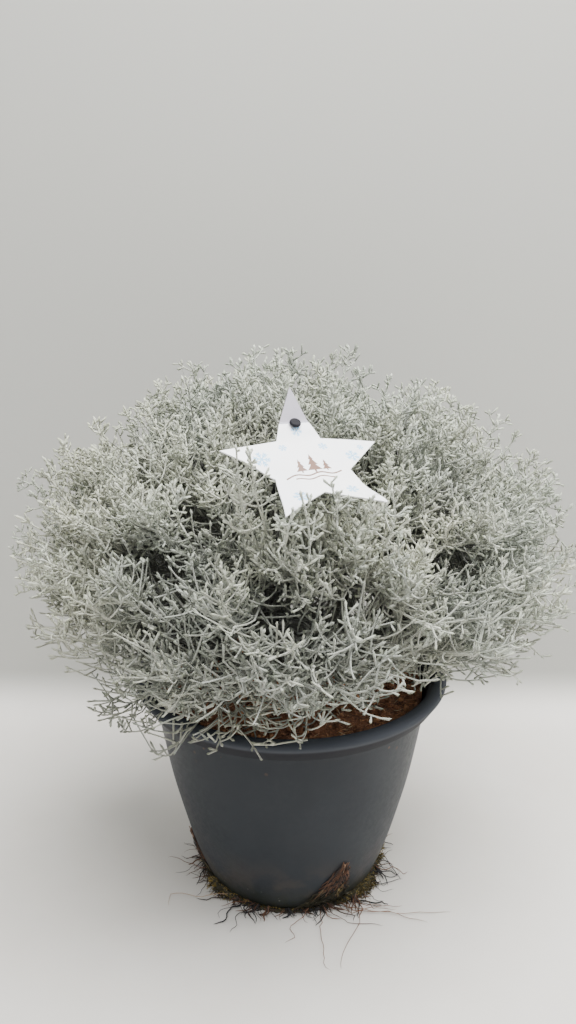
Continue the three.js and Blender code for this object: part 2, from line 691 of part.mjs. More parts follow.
// The plug of roots that fills a slot and joins its mat
function slotPlug(m) {
  const azimuth = deg(FIRST_SLOT_AZIMUTH + m * 360 / SLOTS);
  const plug = new THREE.BoxGeometry(1, 1, 1, 2, 3, 3);
  const at = plug.attributes.position;
  const v = new THREE.Vector3();
  for (let i = 0; i < at.count; i++) {
    v.fromBufferAttribute(at, i);
    const z = 0.6 + (v.z + 0.5) * (SLOT_HEIGHT * 0.72);
    const across = v.y * (SLOT_WIDTH - 5) * (1 - 0.35 * (v.z + 0.5));
    const face = wallRadius(z);
    const inner = v.x < -0.1 ? face - WALL : face + (v.x > 0.1 ? 2.6 : 1);
    const lumpy = 0.8 * Math.sin(v.y * 9 + m) * Math.cos(v.z * 8);
    const r = v.x < -0.1 ? inner : inner + lumpy;
    at.setXYZ(i, r, across, z);
  }
  return solid(plug.rotateZ(azimuth));
}

const plastic = new THREE.MeshStandardMaterial({ color: POT_COLOUR, roughness: 0.55, metalness: 0 });
const peat = new THREE.MeshStandardMaterial({ color: SOIL_COLOUR, roughness: 1, metalness: 0 });
const felted = new THREE.MeshStandardMaterial({ color: FOLIAGE_COLOUR, roughness: 0.9, metalness: 0 });
const fibres = new THREE.MeshStandardMaterial({ color: ROOT_COLOUR, roughness: 0.95, metalness: 0 });
const coated = new THREE.MeshStandardMaterial({ color: CARD_COLOUR, roughness: 0.6, metalness: 0 });
const black = new THREE.MeshStandardMaterial({ color: PIN_COLOUR, roughness: 0.4, metalness: 0 });

const bush = new THREE.Group();
pieces.forEach((parts, k) => {
  bush.add(mesh(`stem_${String(k + 1).padStart(2, '0')}`, fused(parts), felted));
});

const tag = new THREE.Group();
tag.add(mesh('tag_card', card(), coated), mesh('tag_pin', pin(), black));
tag.applyMatrix4(TAG_FRAME);

const pinHoleRadius = PIN_RADIUS + 0.5;
const pinHole = solid(limb([pinTip.clone().lerp(TAG_AT, -0.01), TAG_AT], [pinHoleRadius, pinHoleRadius], 6));

const roots = new THREE.Group();
for (let m = 0; m < SLOTS; m++) {
  roots.add(mesh(`root_mat_${m + 1}`, fused([...rootMat(m), slotPlug(m)]), fibres));
}

const object = new THREE.Group();
object.add(mesh('pot', pot(), plastic), mesh('soil', soil(plans, pinHole), peat), bush, tag, roots);

export default object;
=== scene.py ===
"""A potted cushion bush: a silvery mound of felted, wiry shoots in a dark plastic pot of peat, with
roots and moss round the pot's foot and a star-shaped card on a pin.

Shapes are worked out in millimetres, in the frame of the solids: +Z up, the origin in the middle of
the pot's foot, the front towards -Y. They are scaled to metres as each mesh is made.
"""

import math

import bpy
import numpy as np
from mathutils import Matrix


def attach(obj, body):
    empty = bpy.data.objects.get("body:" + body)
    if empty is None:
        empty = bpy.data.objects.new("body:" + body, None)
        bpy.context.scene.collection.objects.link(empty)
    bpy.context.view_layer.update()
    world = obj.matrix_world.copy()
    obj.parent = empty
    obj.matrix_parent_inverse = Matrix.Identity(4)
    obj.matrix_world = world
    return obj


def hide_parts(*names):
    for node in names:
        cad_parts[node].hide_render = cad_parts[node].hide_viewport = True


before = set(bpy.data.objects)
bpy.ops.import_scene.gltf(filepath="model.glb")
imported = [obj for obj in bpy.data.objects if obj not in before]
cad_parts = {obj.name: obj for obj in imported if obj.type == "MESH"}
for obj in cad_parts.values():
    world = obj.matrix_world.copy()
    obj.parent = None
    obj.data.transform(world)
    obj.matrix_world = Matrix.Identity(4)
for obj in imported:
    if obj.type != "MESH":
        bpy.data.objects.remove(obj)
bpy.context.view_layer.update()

MM = 0.001
UP = np.array([0.0, 0.0, 1.0])
GOLDEN_ANGLE = math.pi * (3 - math.sqrt(5))

# The pot
POT_HEIGHT = 167
RIM_RADIUS = 116
SKIRT_DROP = 15.5
FOOT_RADIUS = 62
FOOT_INNER_RADIUS = 50
MIDDLE_PAD_RADIUS = 16
BASE_LIFT = 3
WALL = 2
POT_SIDES = 160
WALL_OUTSIDE = [[FOOT_RADIUS, 0], [66.5, 7], [75.2, 30], [83.8, 61], [91, 91], [96.4, 121], [101.2, 150]]
SLOTS = 3
FIRST_SLOT_AZIMUTH = -61
SLOT_WIDTH = 27
SLOT_HEIGHT = 37
SLOT_REACH = 45

# The soil
SOIL_LEVEL = 153
SOIL_CROWN = 5
GAP = 0.35
CRUMBS = 2500
FIBRES = 460
SOIL_SEED = 11

# The bush: an ellipsoid that the tips reach, round its middle
BUSH_MIDDLE = np.array([4.0, 0.0, 258.0])
BUSH_WIDE = 207
BUSH_DEEP = 190
BUSH_ABOVE = 139
BUSH_BELOW = 116
STEMS = 24
LOWEST_STEM = -0.44
CROWN_SPACING = 9.6
STEM_RADIUS = 2.7
STEM_LEAN = 0.62
STRAIGHT_STEM = 22
CORE_MIDDLE = 0.55
STEM_FROM_PIN = 9
PIN_ROOM = 34
# Hollows in the outline: from one direction to another, each an azimuth and an elevation, the width
# in degrees, and the depth as a share of the reach
HOLLOWS = [
    ((-60, 34), (-50, -32), 10, 0.15),
    ((-114, 36), (-120, -2), 10, 0.13),
    ((-96, 44), (-78, 40), 15, 0.13),
    ((62, 30), (95, -20), 10, 0.1),
    ((150, 40), (165, -10), 9, 0.08),
    ((-78, -44), (-30, -40), 13, 0.13),
    ((-106, 40), (-98, 26), 7, 0.2),
]
# Lobes: the direction, the width in degrees, and how far they stand out, or in where it is below 0
LOBES = [
    ((-128, -36), 22, 0.06),
    ((176, -26), 22, -0.1),
    ((180, 6), 13, 0.07),
    ((-28, -28), 24, -0.09),
    ((0, 2), 14, 0.04),
    ((90, -32), 30, 0.05),
    ((90, 88), 24, 0.05),
    ((135, 58), 15, 0.03),
    ((160, 27), 12, -0.14),
    ((38, 55), 13, -0.09),
]
# The bush's lowest twigs: azimuth, and height over the rim's edge, from where they rise outwards
HEM = [
    (-180, 184), (-150, 184), (-137, 174), (-128, 163), (-104, 162), (-95, 170), (-80, 180), (-73, 186),
    (-66, 198), (-58, 202), (-51, 190), (-45, 174), (-39, 166), (-30, 166), (-15, 170), (0, 176),
    (120, 182), (180, 184),
]
HEM_SLOPE = 0.5

# What grows on the stems, from the boughs to the buds
BOUGHS = 190
BOUGH_REACH = 0.66
OLD_TWIGS = 1000
INNER_TWIGS = 1900
CROWN_TWIGS = 500
TUFTS = 210
TUFT_PULL = 0.36
LEADERS = 1520
LOWEST_LEADER = -0.7
LEADER_REACH = (0.76, 0.9)
SUNK_SHARE = 0.4
PROUD_SHARE = 0.15
PROUD_REACH = (0.92, 1.0)
TWIG_REACH = 1.08
PROUD_TWIG_REACH = 1.15
PAIRS_A_LEADER = 6
TWIGLETS_A_SIDE = 3
TWIGLETS_A_LEADER = 6
TURNED_UP_SHARE = 0.85
BUD = 1.9
BUSH_SEED = 5
# The kinds of leaders
ORDINARY, HANGING, TALL, BY_CARD = range(4)
# Tips of the tall shoots that stand out of the outline
TALL_SHOOTS = [
    (-27, 30, 402), (-36, 20, 394), (-17, 20, 392), (-45, 10, 385), (1, 40, 397), (21, 10, 388),
    (41, 30, 401), (51, 10, 389), (70, 15, 384), (82, 5, 377), (107, 20, 373), (-71, 20, 391),
    (-76, 10, 383), (-92, 10, 378), (-101, 0, 369), (-114, 0, 359), (-139, 10, 351), (-163, 10, 336),
    (-149, 0, 330), (-176, 0, 319), (-185, 0, 303), (-198, 0, 277), (-206, 5, 260), (125, 10, 361),
    (144, 0, 357), (157, 0, 345), (173, 0, 332), (188, 0, 315), (187, -10, 303), (200, 0, 293),
    (205, 0, 251), (195, -10, 221), (-187, 0, 243), (-197, 0, 232), (-118, -60, 318), (-150, -50, 300),
    (125, -70, 300), (150, -40, 310), (60, -60, 366), (-70, -70, 360),
]
# Tips of shoots that hang over the rim or out of the bush's lower edge
HANGING_SHOOTS = [
    (163, -30, 179), (148, -40, 182), (182, -20, 206), (137, -50, 178), (188, 0, 220), (91, -78, 158),
    (59, -75, 172), (72, -77, 169), (-44, -113, 164), (-78, -93, 156), (-40, -113, 171),
    (-21, -108, 174), (3, -118, 172), (-120, -60, 154), (-107, -62, 158), (-132, -55, 158),
    (-138, -50, 165), (-160, -30, 175), (-176, -20, 200), (-167, -20, 181), (-100, -82, 162),
    (104, -66, 168), (118, -58, 176), (186, -40, 226), (144, -70, 200), (155, -60, 195),
]
# Tips of shoots that stand in front of the card: across it and up it from the knob, and off it
SHOOTS_BY_CARD = [
    (-46, -26, 12), (-41, -33, 13), (-34, -43, 13), (-25, -47, 12), (-22, -65, 12), (-30, -76, 12),
    (0, -65, 10), (12, -58, 13), (21, -70, 8), (32, -67, 10),
]

# The star-shaped card and its pin
STAR_RADIUS = 52
STAR_NOTCH = 0.46
CARD_THICK = 0.9
KNOB_FROM_MIDDLE = 0.59
ARM_BEND = 40
KNOB_RADIUS = 3.5
KNOB_LIFT = 0.2
KNOB_DOWN = 1.9
PIN_RADIUS = 1.25
PIN_LENGTH = 292
TAG_AT = np.array([1.0, -100.0, 371.0])
CARD_RIGHT = np.array([0.922, 0.39, -0.016])
CARD_UP = np.array([-0.326, 0.7935, 0.516])
STAR_MIDDLE = -KNOB_FROM_MIDDLE * STAR_RADIUS
# How far twigs keep from the card's outline, from its faces and from the pin
CARD_MARGIN = 1.5
CARD_CLEAR = 2.2
PIN_CLEAR = 2.4
# Tips this near the card's outline and its faces may lie outside the bush's outline
BESIDE_CARD = 24
OFF_CARD = 36
# How often a shoot that the card lies on is drawn in, and to what share of its length each time
SHORTENINGS = 6
SHORTENED_TO = 0.86

# The roots and moss, with the azimuths in degrees where each is thickest, and how wide that is
STRANDS = 150
MOSS_HAIRS = 1150
SLOT_STRANDS = 200
RIDGE_OUT = 64.5
ROOT_SEED = 31
RIDGE_SEED = 50
MOSS_HAUNTS = [(-143, 15), (-38, 17), (170, 18), (8, 20), (90, 30)]
ROOT_HAUNTS = [(-168, 22), (-6, 20), (-50, 22), (-122, 12), (90, 40)]
LONG_ROOTS = [
    (-61, 84), (-54, 66), (-47, 74), (-40, 44), (-71, 62), (-78, 40), (-50, 58), (-66, 46), (-132, 58),
    (-158, 44), (28, 40), (160, 42), (100, 50), (74, 44),
]
# How far to either side the roots in each slot spread at the foot and at their top, in slot widths,
# and how high they climb, in slot heights
SLOT_WEDGES = [
    ((-1.2, 0.4), (-0.12, 0.14), 1.26), ((-0.6, 0.5), (-0.12, 0.14), 1.2), ((0.2, 1.4), (0.5, 0.95), 1.0),
]


def unit(vectors):
    return vectors / np.linalg.norm(vectors, axis=-1, keepdims=True)


def fade(low, high, x):
    """From 0 at low to 1 at high, along an S-shaped curve."""
    t = np.clip((x - low) / (high - low), 0, 1)
    return t * t * (3 - 2 * t)


def direction(azimuth, elevation):
    a = math.radians(azimuth)
    e = math.radians(elevation)
    return np.array([math.cos(a) * math.cos(e), math.sin(a) * math.cos(e), math.sin(e)])


def ripples(x, y, z, count, wavelength, seed):
    """A smooth random field from about -1 to 1: the mean of plane sine waves of random direction,
    phase and a wavelength within a third of the given one."""
    rng = np.random.default_rng(seed)
    ways = unit(rng.normal(size=(count, 3)))
    pace = 2 * math.pi / (wavelength * rng.uniform(0.67, 1.33, count))
    phase = rng.uniform(0, 2 * math.pi, count)
    along = np.stack([x, y, z], axis=-1) @ ways.T
    return np.sin(along * pace + phase).sum(axis=-1) / math.sqrt(count)


def new_mesh(name, points, faces, values=None):
    """An object of that mesh, smoothly shaded. The faces are arrays with a row of corners each, and
    the values are numbers kept at each point under a name, for the materials."""
    mesh = bpy.data.meshes.new(name)
    corners = np.concatenate([rows.ravel() for rows in faces])
    sizes = np.concatenate([np.full(len(rows), rows.shape[1]) for rows in faces])
    mesh.vertices.add(len(points))
    mesh.vertices.foreach_set("co", (points * MM).astype(np.float32).ravel())
    mesh.loops.add(len(corners))
    mesh.loops.foreach_set("vertex_index", corners.astype(np.int32))
    mesh.polygons.add(len(sizes))
    mesh.polygons.foreach_set("loop_start", (np.cumsum(sizes) - sizes).astype(np.int32))
    mesh.polygons.foreach_set("use_smooth", np.ones(len(sizes), bool))
    for label, numbers in (values or {}).items():
        layer = mesh.attributes.new(label, "FLOAT", "POINT")
        layer.data.foreach_set("value", numbers.astype(np.float32))
    mesh.update(calc_edges=True)
    mesh.validate()
    made = bpy.data.objects.new(name, mesh)
    bpy.context.scene.collection.objects.link(made)
    return made


class Stock:
    """Gathers closed parts that become one mesh."""

    def __init__(self):
        self.points = []
        self.faces = []
        self.values = {}
        self.count = 0

    def add(self, points, faces, **values):
        self.points.append(points)
        self.faces += [rows + self.count for rows in faces]
        self.count += len(points)
        for label, numbers in values.items():
            self.values.setdefault(label, []).append(np.broadcast_to(numbers, len(points)))

    def mesh(self, name):
        values = {label: np.concatenate(rows) for label, rows in self.values.items()}
        return new_mesh(name, np.concatenate(self.points), self.faces, values)


def face_rows(*corners):
    """Faces from the arrays of their first, second and further corners, broadcast together."""
    return np.stack(np.broadcast_arrays(*corners), axis=-1).reshape(-1, len(corners))


def tubes(paths, radii, sides):
    """Closed tubes along paths: at each station but the last a ring of corners at the radius round
    the path, square to it, and the last station is the point that the tube ends in.
    Returns the points, tube by tube, and the faces."""
    n, stations, _ = paths.shape
    along = unit(np.gradient(paths, axis=1))
    chord = paths[:, -1] - paths[:, 0]
    half = paths[:, stations // 2] - paths[:, 0]
    plane = np.cross(half, chord)
    spare = np.cross(chord, [0.36, 0.48, 0.8]) * np.linalg.norm(chord, axis=1)[:, None]
    plane = (plane + 0.02 * spare)[:, None, :]
    side = unit(plane - (plane * along).sum(axis=-1, keepdims=True) * along)
    other = np.cross(along, side)
    turn = (np.arange(sides) * 2 * math.pi / sides)[:, None]
    ring = np.cos(turn) * side[:, :-1, None, :] + np.sin(turn) * other[:, :-1, None, :]
    radii = np.broadcast_to(radii, (n, stations))[:, :-1, None, None]
    rings = paths[:, :-1, None, :] + radii * ring
    points = np.concatenate([rings.reshape(n, -1, 3), paths[:, -1:]], axis=1)
    each = points.shape[1]
    first = (np.arange(n) * each)[:, None, None]
    low = (np.arange(stations - 2) * sides)[None, :, None]
    s = np.arange(sides)[None, None, :]
    after = (s + 1) % sides
    ring = first + low
    next_ring = ring + sides
    quads = face_rows(ring + s, ring + after, next_ring + after, next_ring + s)
    last_ring = first + (stations - 2) * sides
    ends = face_rows(last_ring + s, last_ring + after, first + each - 1)
    caps = first[:, 0] + np.arange(sides)[::-1][None, :]
    return points.reshape(-1, 3), [quads, ends, caps]


def along_tubes(values, sides):
    """Values at the stations of tubes, spread over the points that tubes() makes."""
    rings = np.repeat(values[:, :-1], sides, axis=1)
    return np.concatenate([rings, values[:, -1:]], axis=1).ravel()


def arcs(start, bow, end, stations):
    """Quadratic Bezier curves from start to end, drawn towards bow."""
    t = np.linspace(0, 1, stations)[None, :, None]
    return (1 - t) ** 2 * start[:, None] + 2 * t * (1 - t) * bow[:, None] + t * t * end[:, None]


def on_path(paths, share):
    """The point and the direction at a share of the way along each path."""
    stations = paths.shape[1]
    at = share * (stations - 1)
    i = np.minimum(at.astype(int), stations - 2)
    rows = np.arange(len(paths))
    low = paths[rows, i]
    high = paths[rows, i + 1]
    return low + (high - low) * (at - i)[:, None], unit(high - low)


def lathe(profile, sides):
    """A profile of radius and height turned round Z: rings for the points off the axis, and a pole
    where the profile starts and ends on it."""
    profile = np.asarray(profile, float)
    rings = profile[1:-1]
    turn = np.arange(sides) * 2 * math.pi / sides
    round_z = np.stack([np.cos(turn), np.sin(turn)], axis=-1)
    flat = rings[:, None, :1] * round_z[None]
    height = np.broadcast_to(rings[:, None, 1:], flat.shape[:2] + (1,))
    points = np.concatenate([flat, height], axis=-1).reshape(-1, 3)
    poles = np.array([[0, 0, profile[0, 1]], [0, 0, profile[-1, 1]]])
    low = (np.arange(len(rings) - 1) * sides)[:, None]
    s = np.arange(sides)[None, :]
    after = (s + 1) % sides
    quads = face_rows(low + s, low + after, low + sides + after, low + sides + s)
    last = (len(rings) - 1) * sides
    start_pole = len(points)
    bottom = face_rows(start_pole, after, s)
    top = face_rows(last + s, last + after, start_pole + 1)
    return np.concatenate([points, poles]), [quads, bottom, top]


def rounded(corners, steps=5):
    """A profile with its corners cut by curves. A corner is a radius, a height and a size: the curve
    starts and ends that far from the corner, or halfway to its neighbour where that is nearer."""
    made = []
    for i, (x, z, size) in enumerate(corners):
        here = np.array([x, z], float)
        if size == 0:
            made.append(here[None])
            continue
        before = np.array(corners[i - 1][:2]) - here
        after = np.array(corners[i + 1][:2]) - here
        start = here + before * min(size / np.linalg.norm(before), 0.48)
        end = here + after * min(size / np.linalg.norm(after), 0.48)
        t = np.linspace(0, 1, steps)[:, None]
        made.append((1 - t) ** 2 * start + 2 * t * (1 - t) * here + t * t * end)
    return np.concatenate(made)


def smooth_through(points, steps):
    """A Catmull-Rom curve through points in a plane, with that many steps between two points."""
    p = np.asarray(points, float)
    p = np.concatenate([[2 * p[0] - p[1]], p, [2 * p[-1] - p[-2]]])
    t = np.linspace(0, 1, steps, endpoint=False)[None, :, None]
    a, b, c, d = (p[k:len(p) - 3 + k][:, None] for k in range(4))
    curve = 0.5 * (2 * b + (c - a) * t + (2 * a - 5 * b + 4 * c - d) * t ** 2
                   + (3 * b - a - 3 * c + d) * t ** 3)
    return np.concatenate([curve.reshape(-1, 2), p[-2:-1]])


WALL_CURVE = smooth_through(WALL_OUTSIDE, 4)


def wall_radius(height):
    return np.interp(height, WALL_CURVE[:, 1], WALL_CURVE[:, 0])


# Shader nodes

def colour(red, green, blue):
    """A colour given as the screen shows it, from 0 to 255, as the linear colour that nodes take."""
    share = np.array([red, green, blue]) / 255
    linear = np.where(share <= 0.04045, share / 12.92, ((share + 0.055) / 1.055) ** 2.4)
    return (*linear.tolist(), 1.0)


def put(tree, socket, value):
    """Sets a socket to a number or a colour, or joins it to another node's output."""
    if isinstance(value, bpy.types.NodeSocket):
        tree.links.new(value, socket)
    else:
        socket.default_value = value


def add(tree, kind, inputs=None, **settings):
    made = tree.nodes.new(kind)
    for label, value in settings.items():
        setattr(made, label, value)
    for label, value in (inputs or {}).items():
        put(tree, made.inputs[label], value)
    return made


def maths(tree, operation, *values):
    made = add(tree, "ShaderNodeMath", operation=operation)
    for i, value in enumerate(values):
        put(tree, made.inputs[i], value)
    return made.outputs[0]


def ramp(tree, value, low, high, start=0.0, end=1.0):
    """Takes low to start and high to end, smoothly, and nothing beyond them."""
    made = add(tree, "ShaderNodeMapRange", {
        "Value": value, "From Min": low, "From Max": high, "To Min": start, "To Max": end,
    }, interpolation_type="SMOOTHSTEP")
    return made.outputs["Result"]


def mix(tree, share, first, second, blend_type="MIX"):
    made = add(tree, "ShaderNodeMix", data_type="RGBA", blend_type=blend_type)
    put(tree, made.inputs[0], share)
    put(tree, made.inputs[6], first)
    put(tree, made.inputs[7], second)
    return made.outputs[2]


def place(tree):
    return add(tree, "ShaderNodeTexCoord").outputs["Object"]


def parted(tree, vector):
    return add(tree, "ShaderNodeSeparateXYZ", {"Vector": vector}).outputs


def new_group(name, inputs, outputs):
    """A shader node group with named inputs, each with its usual value, and named outputs."""
    tree = bpy.data.node_groups.new(name, "ShaderNodeTree")
    for label, value in inputs.items():
        kind = "NodeSocketVector" if isinstance(value, tuple) else "NodeSocketFloat"
        socket = tree.interface.new_socket(label, in_out="INPUT", socket_type=kind)
        socket.default_value = value
    for label in outputs:
        tree.interface.new_socket(label, in_out="OUTPUT", socket_type="NodeSocketFloat")
    return tree, add(tree, "NodeGroupInput"), add(tree, "NodeGroupOutput")


def make_mottle():
    """Soft blotches: noise of a size in millimetres, pulled apart round its middle by a contrast."""
    tree, given, out = new_group("mottle", {"Size": 10.0, "Contrast": 0.15, "Shift": 0.0}, ["Mask"])
    shift = add(tree, "ShaderNodeCombineXYZ", {"X": given.outputs["Shift"]})
    moved = add(tree, "ShaderNodeVectorMath", {0: place(tree), 1: shift.outputs[0]}, operation="ADD")
    noise = add(tree, "ShaderNodeTexNoise", {
        "Vector": moved.outputs[0],
        "Scale": maths(tree, "DIVIDE", 1 / MM, given.outputs["Size"]),
        "Detail": 4.0,
        "Roughness": 0.6,
    })
    low = maths(tree, "SUBTRACT", 0.5, given.outputs["Contrast"])
    high = maths(tree, "ADD", 0.5, given.outputs["Contrast"])
    put(tree, out.inputs["Mask"], ramp(tree, noise.outputs[0], low, high))
    return tree


def make_specks():
    """Small round specks of a size in millimetres, in a share of the cells of a Voronoi pattern."""
    tree, given, out = new_group("specks", {"Spacing": 8.0, "Size": 0.6, "Share": 0.3}, ["Mask"])
    cells = add(tree, "ShaderNodeTexVoronoi", {
        "Vector": place(tree),
        "Scale": maths(tree, "DIVIDE", 1 / MM, given.outputs["Spacing"]),
    })
    size = maths(tree, "DIVIDE", given.outputs["Size"], given.outputs["Spacing"])
    luck = parted(tree, cells.outputs["Color"])
    near = maths(tree, "LESS_THAN", cells.outputs["Distance"], maths(tree, "MULTIPLY", size, luck[1]))
    kept = maths(tree, "LESS_THAN", luck[0], given.outputs["Share"])
    put(tree, out.inputs["Mask"], maths(tree, "MULTIPLY", near, kept))
    return tree


def make_snowflake():
    """A six-spoked flake at a place on the card, in millimetres: near a spoke, or near one of two
    pairs of barbs that leave it at a slant. The angle round the flake is folded into one spoke."""
    inputs = {"Across": 0.0, "Upward": 0.0, "Centre X": 0.0, "Centre Y": 0.0, "Size": 5.0, "Turn": 0.0}
    tree, given, out = new_group("snowflake", inputs, ["Mask"])
    x = maths(tree, "SUBTRACT", given.outputs["Across"], given.outputs["Centre X"])
    y = maths(tree, "SUBTRACT", given.outputs["Upward"], given.outputs["Centre Y"])
    squares = maths(tree, "ADD", maths(tree, "MULTIPLY", x, x), maths(tree, "MULTIPLY", y, y))
    far = maths(tree, "SQRT", squares)
    angle = maths(tree, "ADD", maths(tree, "ARCTAN2", y, x), given.outputs["Turn"])
    fold = maths(tree, "PINGPONG", angle, math.pi / 6)
    out_way = maths(tree, "MULTIPLY", far, maths(tree, "COSINE", fold))
    off_way = maths(tree, "MULTIPLY", far, maths(tree, "SINE", fold))
    line = maths(tree, "MULTIPLY", given.outputs["Size"], 0.075)
    spoke = maths(tree, "LESS_THAN", off_way, line)
    mask = maths(tree, "MULTIPLY", spoke, maths(tree, "LESS_THAN", far, given.outputs["Size"]))
    for start in (0.36, 0.64):
        slant = maths(tree, "SUBTRACT", out_way, maths(tree, "MULTIPLY", off_way, 1.1))
        barb_root = maths(tree, "MULTIPLY", given.outputs["Size"], start)
        away = maths(tree, "ABSOLUTE", maths(tree, "SUBTRACT", slant, barb_root))
        barb = maths(tree, "LESS_THAN", away, maths(tree, "MULTIPLY", line, 1.2))
        short = maths(tree, "LESS_THAN", off_way, maths(tree, "MULTIPLY", given.outputs["Size"], 0.27))
        mask = maths(tree, "MAXIMUM", mask, maths(tree, "MULTIPLY", barb, short))
    put(tree, out.inputs["Mask"], mask)
    return tree


def make_fir():
    """A small fir at a place on the card, in millimetres: three tiers, each a triangle that is
    narrower at its top, under an outline that narrows upwards, and a trunk."""
    inputs = {"Across": 0.0, "Upward": 0.0, "Centre X": 0.0, "Foot": 0.0, "Height": 10.0}
    tree, given, out = new_group("fir", inputs, ["Mask"])
    x = maths(tree, "ABSOLUTE", maths(tree, "SUBTRACT", given.outputs["Across"], given.outputs["Centre X"]))
    up = maths(tree, "DIVIDE", maths(tree, "SUBTRACT", given.outputs["Upward"], given.outputs["Foot"]),
               given.outputs["Height"])
    tier = maths(tree, "FRACT", maths(tree, "MULTIPLY", up, 3.0))
    taper = maths(tree, "SUBTRACT", 1.0, up)
    jag = maths(tree, "SUBTRACT", 1.0, maths(tree, "MULTIPLY", tier, 0.5))
    half = maths(tree, "MULTIPLY", maths(tree, "MULTIPLY", taper, jag),
                 maths(tree, "MULTIPLY", given.outputs["Height"], 0.36))
    inside = maths(tree, "LESS_THAN", x, half)
    over = maths(tree, "MULTIPLY", maths(tree, "GREATER_THAN", up, 0.0), maths(tree, "LESS_THAN", up, 1.0))
    trunk = maths(tree, "MULTIPLY",
                  maths(tree, "LESS_THAN", x, maths(tree, "MULTIPLY", given.outputs["Height"], 0.045)),
                  maths(tree, "LESS_THAN", maths(tree, "ABSOLUTE", maths(tree, "ADD", up, 0.07)), 0.075))
    put(tree, out.inputs["Mask"], maths(tree, "MAXIMUM", maths(tree, "MULTIPLY", inside, over), trunk))
    return tree


MOTTLE = make_mottle()
SPECKS = make_specks()
SNOWFLAKE = make_snowflake()
FIR = make_fir()


def mask_of(tree, group, **inputs):
    """The mask of a group placed in a tree. A low line in an input's label stands for a space."""
    made = add(tree, "ShaderNodeGroup", node_tree=group)
    for label, value in inputs.items():
        put(tree, made.inputs[label.replace("_", " ")], value)
    return made.outputs["Mask"]


def new_material(name, **constants):
    """A material of one Principled shader, with its constants. Returns it, its tree and the shader."""
    made = bpy.data.materials.new(name)
    made.use_nodes = True
    tree = made.node_tree
    shader = tree.nodes["Principled BSDF"]
    for label, value in constants.items():
        shader.inputs[label.replace("_", " ")].default_value = value
    return made, tree, shader


def relief(tree, shader, height, depth, strength=1.0):
    """Raises a surface by a height from 0 to 1 times a depth in millimetres."""
    bump = add(tree, "ShaderNodeBump", {"Height": height, "Distance": depth * MM, "Strength": strength})
    put(tree, shader.inputs["Normal"], bump.outputs[0])


def kept_value(tree, label):
    return add(tree, "ShaderNodeAttribute", attribute_name=label).outputs["Fac"]


def felt_material():
    """Silver felt on wiry wood: brown-grey inside the bush, old wood with painted shade, as the wood's
    dark colour also stands for the shade in the gaps, pale on the shoots and greener at the buds, with
    each twig a little lighter or darker, the low wild shoots darker as painted shade, and patches of
    warmer and bluer felt."""
    made, tree, shader = new_material("silver_felt", Sheen_Weight=0.35, Sheen_Roughness=0.5)
    age = kept_value(tree, "age")
    shade = kept_value(tree, "shade")
    patch = mask_of(tree, MOTTLE, Size=90.0, Contrast=0.16)
    worn = mask_of(tree, MOTTLE, Size=5.0, Contrast=0.2, Shift=0.3)
    pale = mix(tree, patch, colour(200, 206, 194), colour(212, 213, 194))
    bud = mix(tree, patch, colour(144, 155, 130), colour(162, 168, 136))
    # The dark wood: old bare wood, darkened further as painted shade in the gaps of the bush.
    wood = mix(tree, worn, colour(62, 65, 52), colour(92, 95, 80))
    felt = mix(tree, ramp(tree, age, 0.1, 0.42), wood, pale)
    felt = mix(tree, ramp(tree, age, 0.72, 1.0), felt, bud)
    # Each twig's own lightness, which on the low wild shoots includes painted shade.
    by_twig = ramp(tree, shade, 0.0, 1.0, 0.56, 1.0)
    by_wear = ramp(tree, worn, 0.0, 1.0, 0.86, 1.0)
    light = maths(tree, "MULTIPLY", by_twig, by_wear)
    grey = add(tree, "ShaderNodeCombineColor", {0: light, 1: light, 2: light}).outputs[0]
    put(tree, shader.inputs["Base Color"], mix(tree, 1.0, felt, grey, "MULTIPLY"))
    put(tree, shader.inputs["Roughness"], ramp(tree, worn, 0.0, 1.0, 0.75, 0.95))
    scales = mask_of(tree, MOTTLE, Size=1.1, Contrast=0.2)
    relief(tree, shader, scales, 0.25)
    return made


